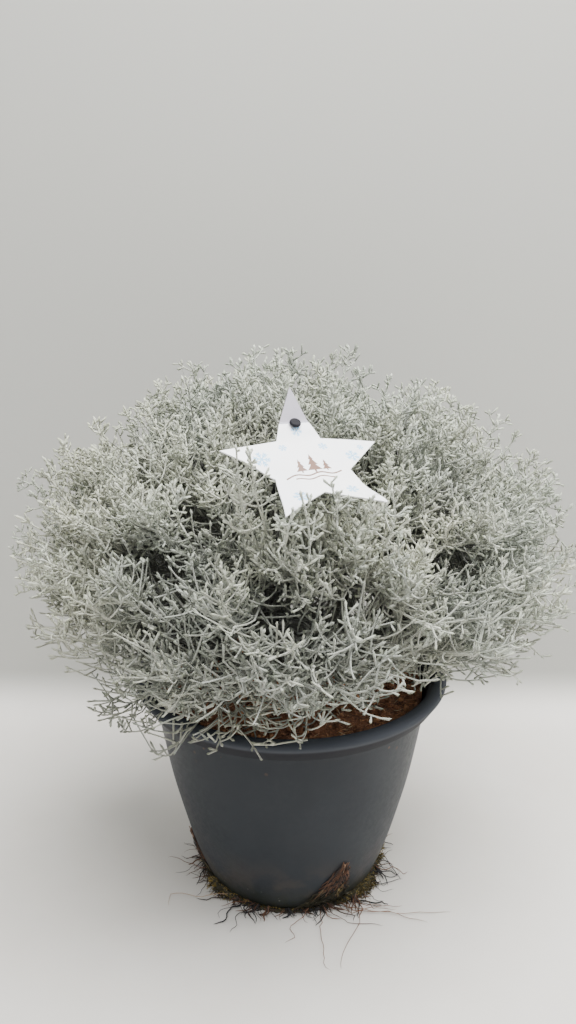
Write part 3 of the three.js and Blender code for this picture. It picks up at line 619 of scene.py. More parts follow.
def pot_material():
    """Satin dark grey plastic: a little blue, with painted light on the rim's lip, which is paler where
    light falls on its top, and painted shade on its skirt, which faces down and is darker, with a film
    of dust, specks of peat and straw under the rim, and near the foot faint brown smears, pale grit
    and a dark green stain."""
    made, tree, shader = new_material("pot_plastic", IOR=1.46, Specular_IOR_Level=0.3)
    height = parted(tree, place(tree))[2]
    broad = mask_of(tree, MOTTLE, Size=60.0, Contrast=0.2)
    fine = mask_of(tree, MOTTLE, Size=4.0, Contrast=0.25, Shift=1.0)
    plastic = mix(tree, broad, colour(18, 25, 33), colour(22, 29, 37))
    dust = maths(tree, "MULTIPLY", fine, ramp(tree, broad, 0.0, 1.0, 0.01, 0.04))
    surface = mix(tree, dust, plastic, colour(112, 112, 110))
    # Painted shade: the rim's skirt faces down, so it is given a darker colour than the plastic.
    skirt = ramp(tree, height, 150.6 * MM, 151.4 * MM)
    surface = mix(tree, skirt, surface, colour(14, 16, 24))
    # Painted light: the lip is given a paler colour, a painted highlight for the light on its top.
    lip_painted_light = ramp(tree, height, 158.5 * MM, 162 * MM)
    surface = mix(tree, lip_painted_light, surface, colour(54, 58, 65))
    under_rim = maths(tree, "MULTIPLY", ramp(tree, height, 126 * MM, 146 * MM),
                      ramp(tree, height, 151 * MM, 149 * MM))
    low_wall = maths(tree, "MULTIPLY", ramp(tree, height, 64 * MM, 22 * MM), 0.28)
    peat = mask_of(tree, SPECKS, Spacing=6.0, Size=1.7, Share=0.3)
    straw = mask_of(tree, SPECKS, Spacing=10.0, Size=2.0, Share=0.3)
    smears = mask_of(tree, MOTTLE, Size=26.0, Contrast=0.1, Shift=3.0)
    grit = mask_of(tree, SPECKS, Spacing=4.5, Size=0.9, Share=0.3)
    stain = ramp(tree, fine, 0.0, 1.0, 0.35, 0.9)
    for mask, where, tone in (
        (peat, under_rim, colour(74, 54, 42)),
        (straw, under_rim, colour(176, 154, 122)),
        (smears, low_wall, colour(78, 66, 56)),
        (grit, ramp(tree, height, 26 * MM, 8 * MM), colour(140, 140, 128)),
        (stain, ramp(tree, height, 34 * MM, 2 * MM), colour(36, 40, 28)),
    ):
        surface = mix(tree, maths(tree, "MULTIPLY", mask, where), surface, tone)
    put(tree, shader.inputs["Base Color"], surface)
    satin = ramp(tree, fine, 0.0, 1.0, 0.46, 0.54)
    dull_skirt = maths(tree, "MULTIPLY", skirt, 0.72)
    put(tree, shader.inputs["Roughness"], maths(tree, "MAXIMUM", satin, dull_skirt))
    grain = mask_of(tree, MOTTLE, Size=0.8, Contrast=0.3, Shift=2.0)
    relief(tree, shader, grain, 0.03)
    return made


def peat_material():
    """Damp peat: near black to reddish brown by the crumb, with pale flecks of fibre."""
    made, tree, shader = new_material("peat")
    shade = kept_value(tree, "shade")
    lumps = mask_of(tree, MOTTLE, Size=9.0, Contrast=0.14)
    grains = mask_of(tree, MOTTLE, Size=1.4, Contrast=0.2, Shift=0.5)
    base = mix(tree, lumps, colour(62, 42, 32), colour(158, 108, 80))
    base = mix(tree, maths(tree, "MULTIPLY", grains, 0.7), base, colour(184, 130, 94))
    base = mix(tree, ramp(tree, shade, 0.3, 0.75), base, colour(206, 150, 110))
    base = mix(tree, ramp(tree, shade, 0.78, 1.0), base, colour(232, 212, 176))
    put(tree, shader.inputs["Base Color"], base)
    put(tree, shader.inputs["Roughness"], ramp(tree, grains, 0.0, 1.0, 0.8, 1.0))
    relief(tree, shader, grains, 1.0)
    return made


def root_material():
    """Old roots and moss: roots from black to a pale brown by the strand, moss from dark olive to
    a yellowish green by the hair."""
    made, tree, shader = new_material("roots_and_moss")
    moss = kept_value(tree, "moss")
    shade = kept_value(tree, "shade")
    blotch = mask_of(tree, MOTTLE, Size=22.0, Contrast=0.12)
    root = mix(tree, ramp(tree, shade, 0.3, 0.8), colour(34, 34, 36), colour(124, 88, 66))
    root = mix(tree, ramp(tree, shade, 0.86, 1.0), root, colour(186, 158, 130))
    green = mix(tree, ramp(tree, shade, 0.1, 0.9), colour(44, 42, 26), colour(192, 168, 100))
    green = mix(tree, maths(tree, "MULTIPLY", blotch, 0.7), green, colour(50, 46, 26))
    put(tree, shader.inputs["Base Color"], mix(tree, moss, root, green))
    put(tree, shader.inputs["Roughness"], ramp(tree, blotch, 0.0, 1.0, 0.7, 0.95))
    relief(tree, shader, mask_of(tree, MOTTLE, Size=0.9, Contrast=0.3), 0.3)
    return made


# Snowflakes on the card: across and up from the star's middle, size and turn
FLAKES = [
    (-27, 7, 5.2, 0.2), (29, 4, 4.4, 0.5), (-15, -26, 4.8, 0.1), (17, -24, 3.6, 0.4),
    (0, 25, 3.4, 0.3), (-12, 14, 2.6, 0.0), (13, 13, 2.9, 0.6), (37, 11, 2.2, 0.1),
]
# Firs on the card: across from the star's middle and height
FIRS = [(-6.5, 9.5), (1.5, 13), (9, 8)]
FIR_FOOT = -5.5
GROUND_WAVES = [(-8.5, 0.55, 17), (-11.5, 0.45, 12)]


def card_material():
    """White coated card printed with pale blue snowflakes, three brown firs and two waved lines, with
    painted shade on its upper arm, which is turned up away from the light above the crease, and a
    painted shadow line along the crease."""
    made, tree, shader = new_material("coated_card", Coat_Weight=0.12, Coat_Roughness=0.35)
    face = add(tree, "ShaderNodeUVMap", uv_map="face").outputs[0]
    across, upward, _ = parted(tree, face)
    x = maths(tree, "MULTIPLY", maths(tree, "SUBTRACT", across, 0.5), 2.0 * STAR_RADIUS)
    y = maths(tree, "MULTIPLY", maths(tree, "SUBTRACT", upward, 0.5), 2.0 * STAR_RADIUS)
    cloud = mask_of(tree, MOTTLE, Size=24.0, Contrast=0.2)
    paper = mix(tree, cloud, colour(248, 250, 255), colour(253, 253, 254))
    # Painted shade: the upper arm, turned up at the crease, is given a greyer colour.
    paper = mix(tree, ramp(tree, y, -STAR_MIDDLE, -STAR_MIDDLE + 1), paper, colour(176, 172, 182))
    # Painted shadow: a grey line along the crease.
    from_crease = maths(tree, "ABSOLUTE", maths(tree, "ADD", y, STAR_MIDDLE))
    paper = mix(tree, ramp(tree, from_crease, 0.8, 0.2), paper, colour(160, 160, 174))
    snow = 0.0
    for centre_x, centre_y, size, turn in FLAKES:
        flake = mask_of(tree, SNOWFLAKE, Across=x, Upward=y, Centre_X=centre_x, Centre_Y=centre_y,
                        Size=size, Turn=turn)
        snow = maths(tree, "MAXIMUM", snow, flake)
    printed = mix(tree, maths(tree, "MULTIPLY", snow, 0.9), paper, colour(120, 188, 232))
    wood = 0.0
    for centre_x, height in FIRS:
        fir = mask_of(tree, FIR, Across=x, Upward=y, Centre_X=centre_x, Foot=FIR_FOOT, Height=height)
        wood = maths(tree, "MAXIMUM", wood, fir)
    for level, thick, half_length in GROUND_WAVES:
        wave = maths(tree, "MULTIPLY", maths(tree, "SINE", maths(tree, "MULTIPLY", x, 0.42)), 0.9)
        away = maths(tree, "ABSOLUTE", maths(tree, "SUBTRACT", maths(tree, "SUBTRACT", y, wave), level))
        line = maths(tree, "LESS_THAN", away, thick)
        within = maths(tree, "LESS_THAN", maths(tree, "ABSOLUTE", x), half_length)
        wood = maths(tree, "MAXIMUM", wood, maths(tree, "MULTIPLY", line, within))
    printed = mix(tree, wood, printed, colour(104, 68, 50))
    put(tree, shader.inputs["Base Color"], printed)
    put(tree, shader.inputs["Roughness"], ramp(tree, cloud, 0.0, 1.0, 0.4, 0.55))
    relief(tree, shader, mask_of(tree, MOTTLE, Size=0.7, Contrast=0.3), 0.02)
    return made


def pin_material():
    """Dull, nearly black plastic with a few fine scuffs."""
    made, tree, shader = new_material("pin_plastic", IOR=1.4, Specular_IOR_Level=0.3)
    scuffs = mask_of(tree, MOTTLE, Size=1.2, Contrast=0.12)
    put(tree, shader.inputs["Base Color"], mix(tree, scuffs, colour(10, 9, 15), colour(20, 19, 27)))
    put(tree, shader.inputs["Roughness"], ramp(tree, scuffs, 0.0, 1.0, 0.58, 0.72))
    relief(tree, shader, scuffs, 0.05)
    return made


def dress(piece, slot, material, *nodes):
    """Gives a piece its material, lets it ride on the body and stand for its nodes."""
    piece.data.materials.append(material)
    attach(piece, "root")
    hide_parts(*nodes)
    return piece


# The pot

def slot_cutter(azimuth):
    """A prism with the drain slot's arch as its section, from inside the foot ring out through the wall."""
    half = SLOT_WIDTH / 2
    arch = rounded([
        (-half, SLOT_HEIGHT * 0.45, 6), (-half * 0.3, SLOT_HEIGHT, 3), (half * 0.3, SLOT_HEIGHT, 3),
        (half, SLOT_HEIGHT * 0.45, 6), (half, -5, 0), (-half, -5, 0),
    ])
    n = len(arch)
    start = FOOT_INNER_RADIUS + 4
    inner = np.column_stack([np.full(n, start), arch])
    outer = np.column_stack([np.full(n, start + SLOT_REACH), arch])
    points = np.concatenate([inner, outer])
    a = math.radians(azimuth)
    x = points[:, 0] * math.cos(a) - points[:, 1] * math.sin(a)
    y = points[:, 0] * math.sin(a) + points[:, 1] * math.cos(a)
    s = np.arange(n)
    after = (s + 1) % n
    walls = np.column_stack([s, after, after + n, s + n])
    return np.column_stack([x, y, points[:, 2]]), [walls, s[None, ::-1], s[None] + n]


def pot():
    """The wall's curve and the folded-over rim, turned round Z, less the three drain slots."""
    top = POT_HEIGHT
    skirt = top - SKIRT_DROP
    foot = rounded([
        (MIDDLE_PAD_RADIUS, 0, 0.6), (MIDDLE_PAD_RADIUS + 2, BASE_LIFT, 0.8),
        (FOOT_INNER_RADIUS, BASE_LIFT, 0.8), (FOOT_INNER_RADIUS + 2, 0, 0.6), (FOOT_RADIUS, 0, 1.5),
        (66.5, 7, 0),
    ])
    rim = rounded([
        (101.2, 150, 0), (RIM_RADIUS - 8, top - 3.2, 1.5), (RIM_RADIUS - 3, top - 3.4, 1),
        (RIM_RADIUS - 10, skirt, 0.5), (RIM_RADIUS - 8.2, skirt - 0.4, 0.9), (RIM_RADIUS, top - 3.6, 2.6),
        (RIM_RADIUS - 4, top, 2.6), (RIM_RADIUS - 10, top - 0.4, 2.5), (RIM_RADIUS - 13.4, top - 5, 3),
        (RIM_RADIUS - 15.6, top - 14, 0),
    ])
    outside = WALL_CURVE[(WALL_CURVE[:, 1] > 7.5) & (WALL_CURVE[:, 1] < 149)]
    inside = WALL_CURVE[(WALL_CURVE[:, 1] > 29) & (WALL_CURVE[:, 1] < 149)][::-1] - [WALL, 0]
    floor = [[FOOT_RADIUS - 1, BASE_LIFT + WALL], [0, BASE_LIFT + WALL]]
    profile = np.concatenate([[[0, 0]], foot, outside, rim, inside, floor])
    points, faces = lathe(profile, POT_SIDES)
    made = new_mesh("plastic_pot", points, faces)
    stock = Stock()
    for i in range(SLOTS):
        stock.add(*slot_cutter(FIRST_SLOT_AZIMUTH + i * 360 / SLOTS))
    cutter = stock.mesh("slot_cutter")
    cut = made.modifiers.new("slots", "BOOLEAN")
    cut.object = cutter
    cut.solver = "EXACT"
    graph = bpy.context.evaluated_depsgraph_get()
    done = bpy.data.meshes.new_from_object(made.evaluated_get(graph))
    made.modifiers.clear()
    made.data = done
    bpy.data.objects.remove(cutter)
    done.set_sharp_from_angle(angle=math.radians(38))
    return made


# The soil

SOIL_EDGE = wall_radius(SOIL_LEVEL) - (WALL + GAP) - 1


def soil_height(x, y):
    """Highest in the middle, falling with the square of the distance, with two crossed ripples."""
    out = np.hypot(x, y) / wall_radius(SOIL_LEVEL)
    lumps = np.sin(x * 0.19 + 1.3) * np.cos(y * 0.23) + 0.6 * np.sin(x * 0.41 - y * 0.37)
    return SOIL_LEVEL + SOIL_CROWN * (1 - out ** 2) + 0.9 * lumps * (1 - out ** 4)


def crumbs(centres, sizes, rng):
    """Eight-sided crumbs: an octahedron round each centre, each corner at its own distance, turned
    by a random rotation."""
    n = len(centres)
    corners = np.array([[1, 0, 0], [-1, 0, 0], [0, 1, 0], [0, -1, 0], [0, 0, 1], [0, 0, -1]], float)
    faces = np.array([
        [0, 2, 4], [2, 1, 4], [1, 3, 4], [3, 0, 4], [2, 0, 5], [1, 2, 5], [3, 1, 5], [0, 3, 5]])
    first = unit(rng.normal(size=(n, 3)))
    second = unit(np.cross(first, unit(rng.normal(size=(n, 3)))))
    axes = np.stack([first, second, np.cross(first, second)], axis=1)
    reach_out = corners[None] * rng.uniform(0.55, 1, (n, 6, 1)) * sizes[:, None, None]
    points = centres[:, None] + reach_out @ axes
    return points.reshape(-1, 3), [(faces[None] + 6 * np.arange(n)[:, None, None]).reshape(-1, 3)]


def root_ball():
    """The root ball's outline turned round Z, its top raised by the soil's height and finer lumps,
    which fade out towards its edge."""
    low = BASE_LIFT + WALL + GAP
    wall = WALL_CURVE[(WALL_CURVE[:, 1] > 29) & (WALL_CURVE[:, 1] < SOIL_LEVEL - 8)] - [WALL + GAP, 0]
    rings = np.linspace(1, 0, 46)[:-1]
    top = np.column_stack([SOIL_EDGE * rings, np.full(len(rings), SOIL_LEVEL)])
    profile = np.concatenate([
        [[0, low], [FOOT_RADIUS - 2.5, low]], wall, [[SOIL_EDGE, SOIL_LEVEL - 4]], top, [[0, SOIL_LEVEL]],
    ])
    points, faces = lathe(profile, 128)
    x, y, z = points.T
    raised = z > SOIL_LEVEL - 1
    rough = 0.8 * ripples(x, y, 0 * z, 24, 9, 3) + 0.45 * ripples(x, y, 0 * z, 24, 3.4, 4)
    calm = fade(SOIL_EDGE, SOIL_EDGE - 6, np.hypot(x, y))
    points[:, 2] = np.where(raised, soil_height(x, y) + rough * calm, z)
    return points, faces


def over_soil(count, low, high, rng):
    """Places drawn evenly over the soil, between two shares of its area counted from its middle."""
    out = SOIL_EDGE * np.sqrt(rng.uniform(low, high, count))
    turn = rng.uniform(0, 2 * math.pi, count)
    return out * np.cos(turn), out * np.sin(turn)


def fibres(rng):
    """Fibres that lie on the soil in arcs, level with it. Returns their paths."""
    x, y = over_soil(FIBRES, 0.2, 0.94, rng)
    start = np.column_stack([x, y, np.zeros(FIBRES)])
    way = unit(rng.normal(size=(FIBRES, 3)) * [1, 1, 0])
    long = rng.uniform(3, 13, FIBRES)[:, None]
    end = start + way * long
    end *= np.minimum(1, (SOIL_EDGE - 1) / np.linalg.norm(end, axis=1))[:, None]
    bow = (start + end) / 2 + rng.normal(size=(FIBRES, 3)) * 1.4
    paths = arcs(start, bow, end, 6)
    paths[..., 2] = soil_height(paths[..., 0], paths[..., 1]) + 1 + rng.uniform(0, 1.4, (FIBRES, 1))
    return paths


def soil():
    """The root ball, with crumbs and fibres lying on it."""
    rng = np.random.default_rng(SOIL_SEED)
    stock = Stock()
    stock.add(*root_ball(), shade=0.0)

    x, y = over_soil(CRUMBS, 0.1, 0.99, rng)
    sizes = 0.6 + 3 * rng.uniform(0, 1, CRUMBS) ** 3
    centres = np.column_stack([x, y, soil_height(x, y) + 0.3 + 0.25 * sizes])
    stock.add(*crumbs(centres, sizes, rng), shade=np.repeat(rng.uniform(0, 0.85, CRUMBS), 6))

    radii = 0.34 * np.array([0.7, 1, 1, 0.9, 0.6, 0])
    points, faces = tubes(fibres(rng), radii, 3)
    shade = rng.uniform(0.5, 1, FIBRES)
    stock.add(points, faces, shade=np.repeat(shade, len(points) // FIBRES))
    return stock.mesh("peat_soil")


# The star-shaped card and its pin

TAG_AXES = unit(np.array([CARD_RIGHT, CARD_UP, np.cross(CARD_RIGHT, CARD_UP)]))


def from_tag(points):
    """Points given across the card, up it and off it, counted from the knob, in the object's frame."""
    return TAG_AT + points @ TAG_AXES


def to_tag(points):
    return (points - TAG_AT) @ TAG_AXES.T


def star_edge(angle):
    """The star's outline round its middle, 0 pointing up: in each tenth it is the straight line from
    a point of the star to the notch beside it."""
    tenth = math.pi / 5
    fold = np.abs((angle + tenth) % (2 * tenth) - tenth)
    notch_x = STAR_NOTCH * STAR_RADIUS * math.cos(tenth)
    notch_y = STAR_NOTCH * STAR_RADIUS * math.sin(tenth)
    return STAR_RADIUS * notch_y / (
        np.sin(fold) * (STAR_RADIUS - notch_x) + np.cos(fold) * notch_y)


def card_bow(x, y):
    """How far the card is bowed off its plane: it sinks below the crease, droops with the square of
    the distance across towards its side tips, most at the right, stands up again at its lower tips,
    most at the right, and has a bell-shaped sag at its left notch."""
    droop = (0.00065 * x ** 2 + 0.00045 * x * np.abs(x)) * fade(-48, -26, y)
    raised = (5.6 + 0.045 * x) * fade(-48, -74, y)
    sag = 3.4 * np.exp(-((x + 24) ** 2 + (y + 38) ** 2) / 12 ** 2)
    return -3.6 * fade(0, -14, y) - droop + raised - sag


def card():
    """A thin star: rays from its middle to its outline, over the top face and back under it. The arm
    above the knob is turned up about a crease, and the rest is bowed."""
    rays = 160
    rings = 26
    angle = np.arange(rays) * 2 * math.pi / rays
    share = np.linspace(0, 1, rings + 1)[1:]
    share = np.concatenate([share, share[::-1]])
    face_up = np.repeat([1.0, -1.0], rings)
    out = share[:, None] * star_edge(angle)[None]
    x = -out * np.sin(angle)
    y = out * np.cos(angle) + STAR_MIDDLE
    half = CARD_THICK / 2 * face_up[:, None] * np.ones_like(x)
    poles = [[0, STAR_MIDDLE, CARD_THICK / 2], [0, STAR_MIDDLE, -CARD_THICK / 2]]
    points = np.concatenate([np.stack([x, y, half], axis=-1).reshape(-1, 3), poles])
    flat = points[:, :2].copy()

    beyond = points[:, 1]
    bend = math.radians(ARM_BEND) * fade(-0.8, 0.8, beyond)
    y = np.where(beyond > 0, beyond * np.cos(bend) - points[:, 2] * np.sin(bend), beyond)
    z = np.where(beyond > 0, beyond * np.sin(bend) + points[:, 2] * np.cos(bend), points[:, 2])
    points = np.column_stack([flat[:, 0], y, z + card_bow(*flat.T)])

    low = (np.arange(2 * rings - 1) * rays)[:, None]
    s = np.arange(rays)[None, :]
    after = (s + 1) % rays
    quads = face_rows(low + s, low + rays + s, low + rays + after, low + after)
    last = (2 * rings - 1) * rays
    middle = len(points) - 2
    top = face_rows(middle, s, after)
    bottom = face_rows(last + after, last + s, middle + 1)
    faces = [quads, top, bottom]
    made = new_mesh("star_card", from_tag(points), faces)
    layer = made.data.uv_layers.new(name="face")
    corner = np.concatenate([rows.ravel() for rows in faces])
    share = 0.5 + (flat - [0, STAR_MIDDLE]) / (2 * STAR_RADIUS)
    layer.data.foreach_set("uv", share[corner].astype(np.float32).ravel())
    made.data.set_sharp_from_angle(angle=math.radians(50))
    return made


def pin():
    """The knob, the collar under the card and the pointed rod: each a profile turned round the pin."""
    lift = CARD_THICK / 2 + KNOB_LIFT
    under = -CARD_THICK / 2 - GAP
    knob = rounded([
        (0, lift, 0), (KNOB_RADIUS * 0.8, lift, 0.5), (KNOB_RADIUS * 1.04, lift + KNOB_RADIUS * 0.3, 0.9),
        (KNOB_RADIUS * 0.9, lift + KNOB_RADIUS * 0.7, 0.9), (0, lift + KNOB_RADIUS * 0.76, 0),
    ], 9)
    collar = rounded([
        (0, under - 2.6, 0), (PIN_RADIUS, under - 2.6, 0.3), (2.6, under - 1, 0.4), (2.6, under, 0.3),
        (0, under, 0),
    ], 4)
    rod = [[0, -PIN_LENGTH], [0.3, -PIN_LENGTH + 0.6], [PIN_RADIUS, -PIN_LENGTH + 12],
           [PIN_RADIUS, -PIN_LENGTH / 2], [PIN_RADIUS, lift + 1], [0, lift + 1]]
    stock = Stock()
    for profile, sides, down in ((knob, 40, KNOB_DOWN), (collar, 20, 0), (rod, 14, 0)):
        points, faces = lathe(profile, sides)
        stock.add(from_tag(points - [0, down, 0]), faces)
    made = stock.mesh("card_pin")
    made.data.set_sharp_from_angle(angle=math.radians(40))
    return made


# The bush

def angle_to_arc(ways, start, end):
    """The angle in degrees from each direction to the nearest of nine directions along an arc."""
    t = np.linspace(0, 1, 9)[:, None]
    marks = unit(direction(*start) * (1 - t) + direction(*end) * t)
    return np.degrees(np.arccos(np.clip((ways @ marks.T).max(axis=1), -1, 1)))


def reach(ways):
    """How far the tips reach from the bush's middle in each direction: the ellipsoid's radius, less
    a bell-shaped share near each hollow and more near each lobe."""
    share = np.ones(len(ways))
    for start, end, width, depth in HOLLOWS:
        share -= depth * np.exp(-(angle_to_arc(ways, start, end) / width) ** 2)
    for at, width, gain in LOBES:
        share += gain * np.exp(-(angle_to_arc(ways, at, at) / width) ** 2)
    rise = np.where(ways[:, 2] > 0, BUSH_ABOVE, BUSH_BELOW)
    scale = np.column_stack([np.full(len(ways), BUSH_WIDE), np.full(len(ways), BUSH_DEEP), rise])
    return share / np.linalg.norm(ways / scale, axis=1)


def spiral(heights):
    """Directions of the given heights, each turned on from the one before by the golden angle."""
    across = np.sqrt(1 - heights ** 2)
    turn = np.arange(len(heights)) * GOLDEN_ANGLE
    return np.column_stack([across * np.cos(turn), across * np.sin(turn), heights])


def spread(count, lowest):
    """Directions from straight up down to the lowest, evenly spread over the sphere."""
    return spiral(1 - (1 - lowest) * (np.arange(count) + 0.5) / count)


def spread_over_bush(count, lowest, play, rng):
    """Directions spread evenly over the bush's surface: a height is drawn as often as the square of
    the bush's radius there, and each direction is then moved by some play."""
    z = np.linspace(1, lowest, 400)
    rise = np.where(z > 0, BUSH_ABOVE, BUSH_BELOW)
    radius = 1 / np.hypot(np.sqrt(1 - z ** 2) / BUSH_WIDE, z / rise)
    share = np.cumsum(radius ** 2)
    share = (share - share[0]) / (share[-1] - share[0])
    heights = np.interp((np.arange(count) + 0.5) / count, share, z)
    return unit(spiral(heights) + rng.normal(size=(count, 3)) * play)


def nearest(points, places):
    """The index of the place that lies nearest to each point."""
    return np.argmin(((points[:, None] - places[None]) ** 2).sum(axis=-1), axis=1)


PIN_TIP = from_tag(np.array([0, 0, -PIN_LENGTH]))


def off_pin(points, room):
    """Points moved out sideways until they are that far from the pin."""
    rod = PIN_TIP - TAG_AT
    t = np.clip((points - TAG_AT) @ rod / (rod @ rod), 0, 1)[..., None]
    out = points - (TAG_AT + t * rod)
    far = np.linalg.norm(out, axis=-1, keepdims=True)
    return np.where(far < room, points + out / far * (room - far), points)


def over_pot(points):
    """Points lifted clear of the soil and the rim: the least height is the soil's surface inside the
    pot, rises to the rim, and falls away outside it."""
    out = np.hypot(points[..., 0], points[..., 1])
    on_soil = soil_height(points[..., 0], points[..., 1]) + 2.5
    on_rim = POT_HEIGHT + 1.6
    least = on_soil + (on_rim - on_soil) * fade(RIM_RADIUS - 24, RIM_RADIUS - 13, out)
    least = np.where(out > RIM_RADIUS + 1, on_rim - 3.5 * (out - RIM_RADIUS - 1), least)
    lifted = points.copy()
    lifted[..., 2] = np.maximum(points[..., 2], least)
    return lifted


def hem(points):
    """The height of the bush's lowest twigs over each point: it follows the hem round the pot, rises
    outwards, and is ragged by ripples."""
    azimuths, heights = np.transpose(HEM)
    azimuth = np.degrees(np.arctan2(points[..., 1], points[..., 0]))
    out = np.hypot(points[..., 0], points[..., 1])
    ragged = 4 * ripples(points[..., 0], points[..., 1], 0 * out, 7, 22, 9)
    return np.interp(azimuth, azimuths, heights) + HEM_SLOPE * (out - RIM_RADIUS) + ragged


def within_star(local, margin):
    """True for each point, given in the card's own axes, over the star's outline widened by a margin."""
    x = local[..., 0]
    y = local[..., 1] - STAR_MIDDLE
    return np.hypot(x, y) < star_edge(np.arctan2(-x, y)) + margin


def over_card(paths):
    """True for each path that touches the card, goes through it, or lies over more of it than its
    left and lower edges."""
    local = to_tag(paths)
    up_arm = np.maximum(local[..., 1], 0) * math.tan(math.radians(ARM_BEND))
    height = local[..., 2] - card_bow(local[..., 0], local[..., 1]) - up_arm
    touching = within_star(local, CARD_MARGIN) & (np.abs(height) < CARD_CLEAR)
    halfway = (local[:, 1:] + local[:, :-1]) / 2
    through = within_star(halfway, CARD_MARGIN) & (height[:, 1:] * height[:, :-1] < 0)
    down = STAR_MIDDLE - local[..., 1]
    left_or_low = np.maximum(fade(8, 22, 0.7 * down - local[..., 0]), fade(14, 26, down))
    covering = within_star(local, -1 - 11 * left_or_low) & (height > 0) & (height < 90)
    return touching.any(axis=1) | through.any(axis=1) | covering.any(axis=1)


def by_pin(paths):
    """True for each path that comes too near the line of the pin."""
    rod = unit(PIN_TIP - TAG_AT)
    out = paths - TAG_AT
    beside = out - (out @ rod)[..., None] * rod
    return (np.linalg.norm(beside, axis=-1) < PIN_CLEAR).any(axis=1)


class Growth:
    """Twigs of one kind: their paths, the stem each belongs to, its lightness, how wild it grows,
    whether it stands proud of the rest, and the age at its root and tip, from 0 for old wood to 1
    for a bud."""

    def __init__(self, paths, stem, shade, wild, proud, root_age, tip_age):
        self.paths = paths
        self.stem = stem
        self.shade = shade
        self.wild = wild
        self.proud = proud
        self.root_age = np.broadcast_to(root_age, len(paths))
        self.tip_age = np.broadcast_to(tip_age, len(paths))

    def kept(self, keep):
        return Growth(self.paths[keep], self.stem[keep], self.shade[keep], self.wild[keep],
                      self.proud[keep], self.root_age[keep], self.tip_age[keep])

    def clear(self):
        """These twigs lifted off the pot, without those that the card or the pin is in the way of,
        without those that end outside the bush, other than beside the card, and without those that
        dip under the hem. Proud twigs may reach further out, and dip."""
        self.paths = over_pot(self.paths)
        tips = self.paths[:, -1]
        out = tips - BUSH_MIDDLE
        far = np.linalg.norm(out, axis=1)
        limit = np.where(self.proud, PROUD_TWIG_REACH, TWIG_REACH)
        local = to_tag(tips)
        by_card = within_star(local, BESIDE_CARD) & (np.abs(local[:, 2]) < OFF_CARD)
        outside = (far > limit * reach(out / far[:, None])) & ~by_card
        low = (self.paths[..., 2] < hem(self.paths)).any(axis=1) & ~self.proud
        return self.kept(~(over_card(self.paths) | by_pin(self.paths) | outside | low))


def sprout(parent, rows, share, angle, turn, length, rise, stations, ages, rng):
    """Twigs that grow from the rows of a parent growth. Each leaves its parent's path at a share of
    its length, at an angle to it and turned round it, and is a quadratic curve of the given length
    that bends on along its parent and upwards. The ends of most never point down."""
    root, along = on_path(parent.paths[rows], share)
    side = unit(np.cross(along, [0.31, -0.52, 0.79]))
    other = np.cross(along, side)
    away = side * np.cos(turn)[:, None] + other * np.sin(turn)[:, None]
    first = along * np.cos(angle)[:, None] + away * np.sin(angle)[:, None]
    bent = 0.65 * first + 0.4 * along + rise[:, None] * UP
    last = unit(bent + 0.25 * rng.normal(size=root.shape))
    turned_up = rng.uniform(0, 1, len(rows)) < TURNED_UP_SHARE
    last[:, 2] = np.where(turned_up, np.abs(last[:, 2]), last[:, 2])
    bow = root + first * length[:, None] * 0.45
    tip = bow + last * length[:, None] * 0.6
    shade = np.clip(parent.shade[rows] + rng.normal(size=len(rows)) * 0.18, 0, 1)
    made = Growth(arcs(root, bow, tip, stations), parent.stem[rows], shade, parent.wild[rows],
                  parent.proud[rows], *ages)
    return made.clear()


def stem_plans():
    """Each stem's foot in the soil and its direction there, and the middle of its thicket."""
    k = np.arange(STEMS)
    ways = spread(STEMS, LOWEST_STEM)
    out = CROWN_SPACING * np.sqrt(k + 0.5)
    turn = k * GOLDEN_ANGLE
    flat = np.column_stack([np.cos(turn), np.sin(turn)])
    feet = np.column_stack([flat * out[:, None], np.full(STEMS, SOIL_LEVEL + SOIL_CROWN)])
    lean = STEM_LEAN * out / (CROWN_SPACING * math.sqrt(STEMS))
    along = unit(np.column_stack([flat * lean[:, None], np.ones(STEMS)]))
    middles = BUSH_MIDDLE + ways * (reach(ways) * CORE_MIDDLE)[:, None]
    return feet, along, off_pin(middles, PIN_ROOM)


def grow_trunks(feet, along, middles, rng):
    """Each stem runs straight up out of the soil and then curves out to its thicket, with bark kinks."""
    lift = feet + along * STRAIGHT_STEM
    far = np.linalg.norm(middles - feet, axis=1)[:, None]
    bow = feet + along * far * 0.55
    bow[:, 2] = np.maximum(bow[:, 2], middles[:, 2] - 30)
    sunk = along * 8
    steps = np.linspace(0, 1, 4)[None, :-1, None]
    straight = (feet - sunk)[:, None] + steps * (lift - feet + sunk)[:, None]
    curved = arcs(lift, bow, middles, 14)
    paths = np.concatenate([straight, curved], axis=1)
    kinks = rng.normal(size=paths.shape) * 0.9
    kinks[:, :3] = 0
    return off_pin(paths + kinks, STEM_FROM_PIN)


def grow_boughs(trunks, middles, rng):
    """Boughs leave the upper half of their stem and fan out to most of the bush's reach."""
    ways = spread_over_bush(BOUGHS, -0.62, 0.05, rng)
    tips = over_pot(BUSH_MIDDLE + ways * (reach(ways) * BOUGH_REACH)[:, None])
    stem = nearest(tips, middles)
    start, _ = on_path(trunks[stem], rng.uniform(0.5, 0.98, BOUGHS))
    long = np.linalg.norm(tips - start, axis=1)[:, None]
    bow = (start + tips) / 2 + rng.normal(size=tips.shape) * 0.12 * long
    paths = arcs(start, bow, tips, 12)
    sway = rng.normal(size=paths.shape) * 1.1
    sway[:, 0] = 0
    paths = over_pot(off_pin(paths + sway, 4))
    shade = rng.uniform(0, 1, BOUGHS)
    return Growth(paths, stem, shade, np.zeros(BOUGHS), np.zeros(BOUGHS, bool), 0.0, 0.3)


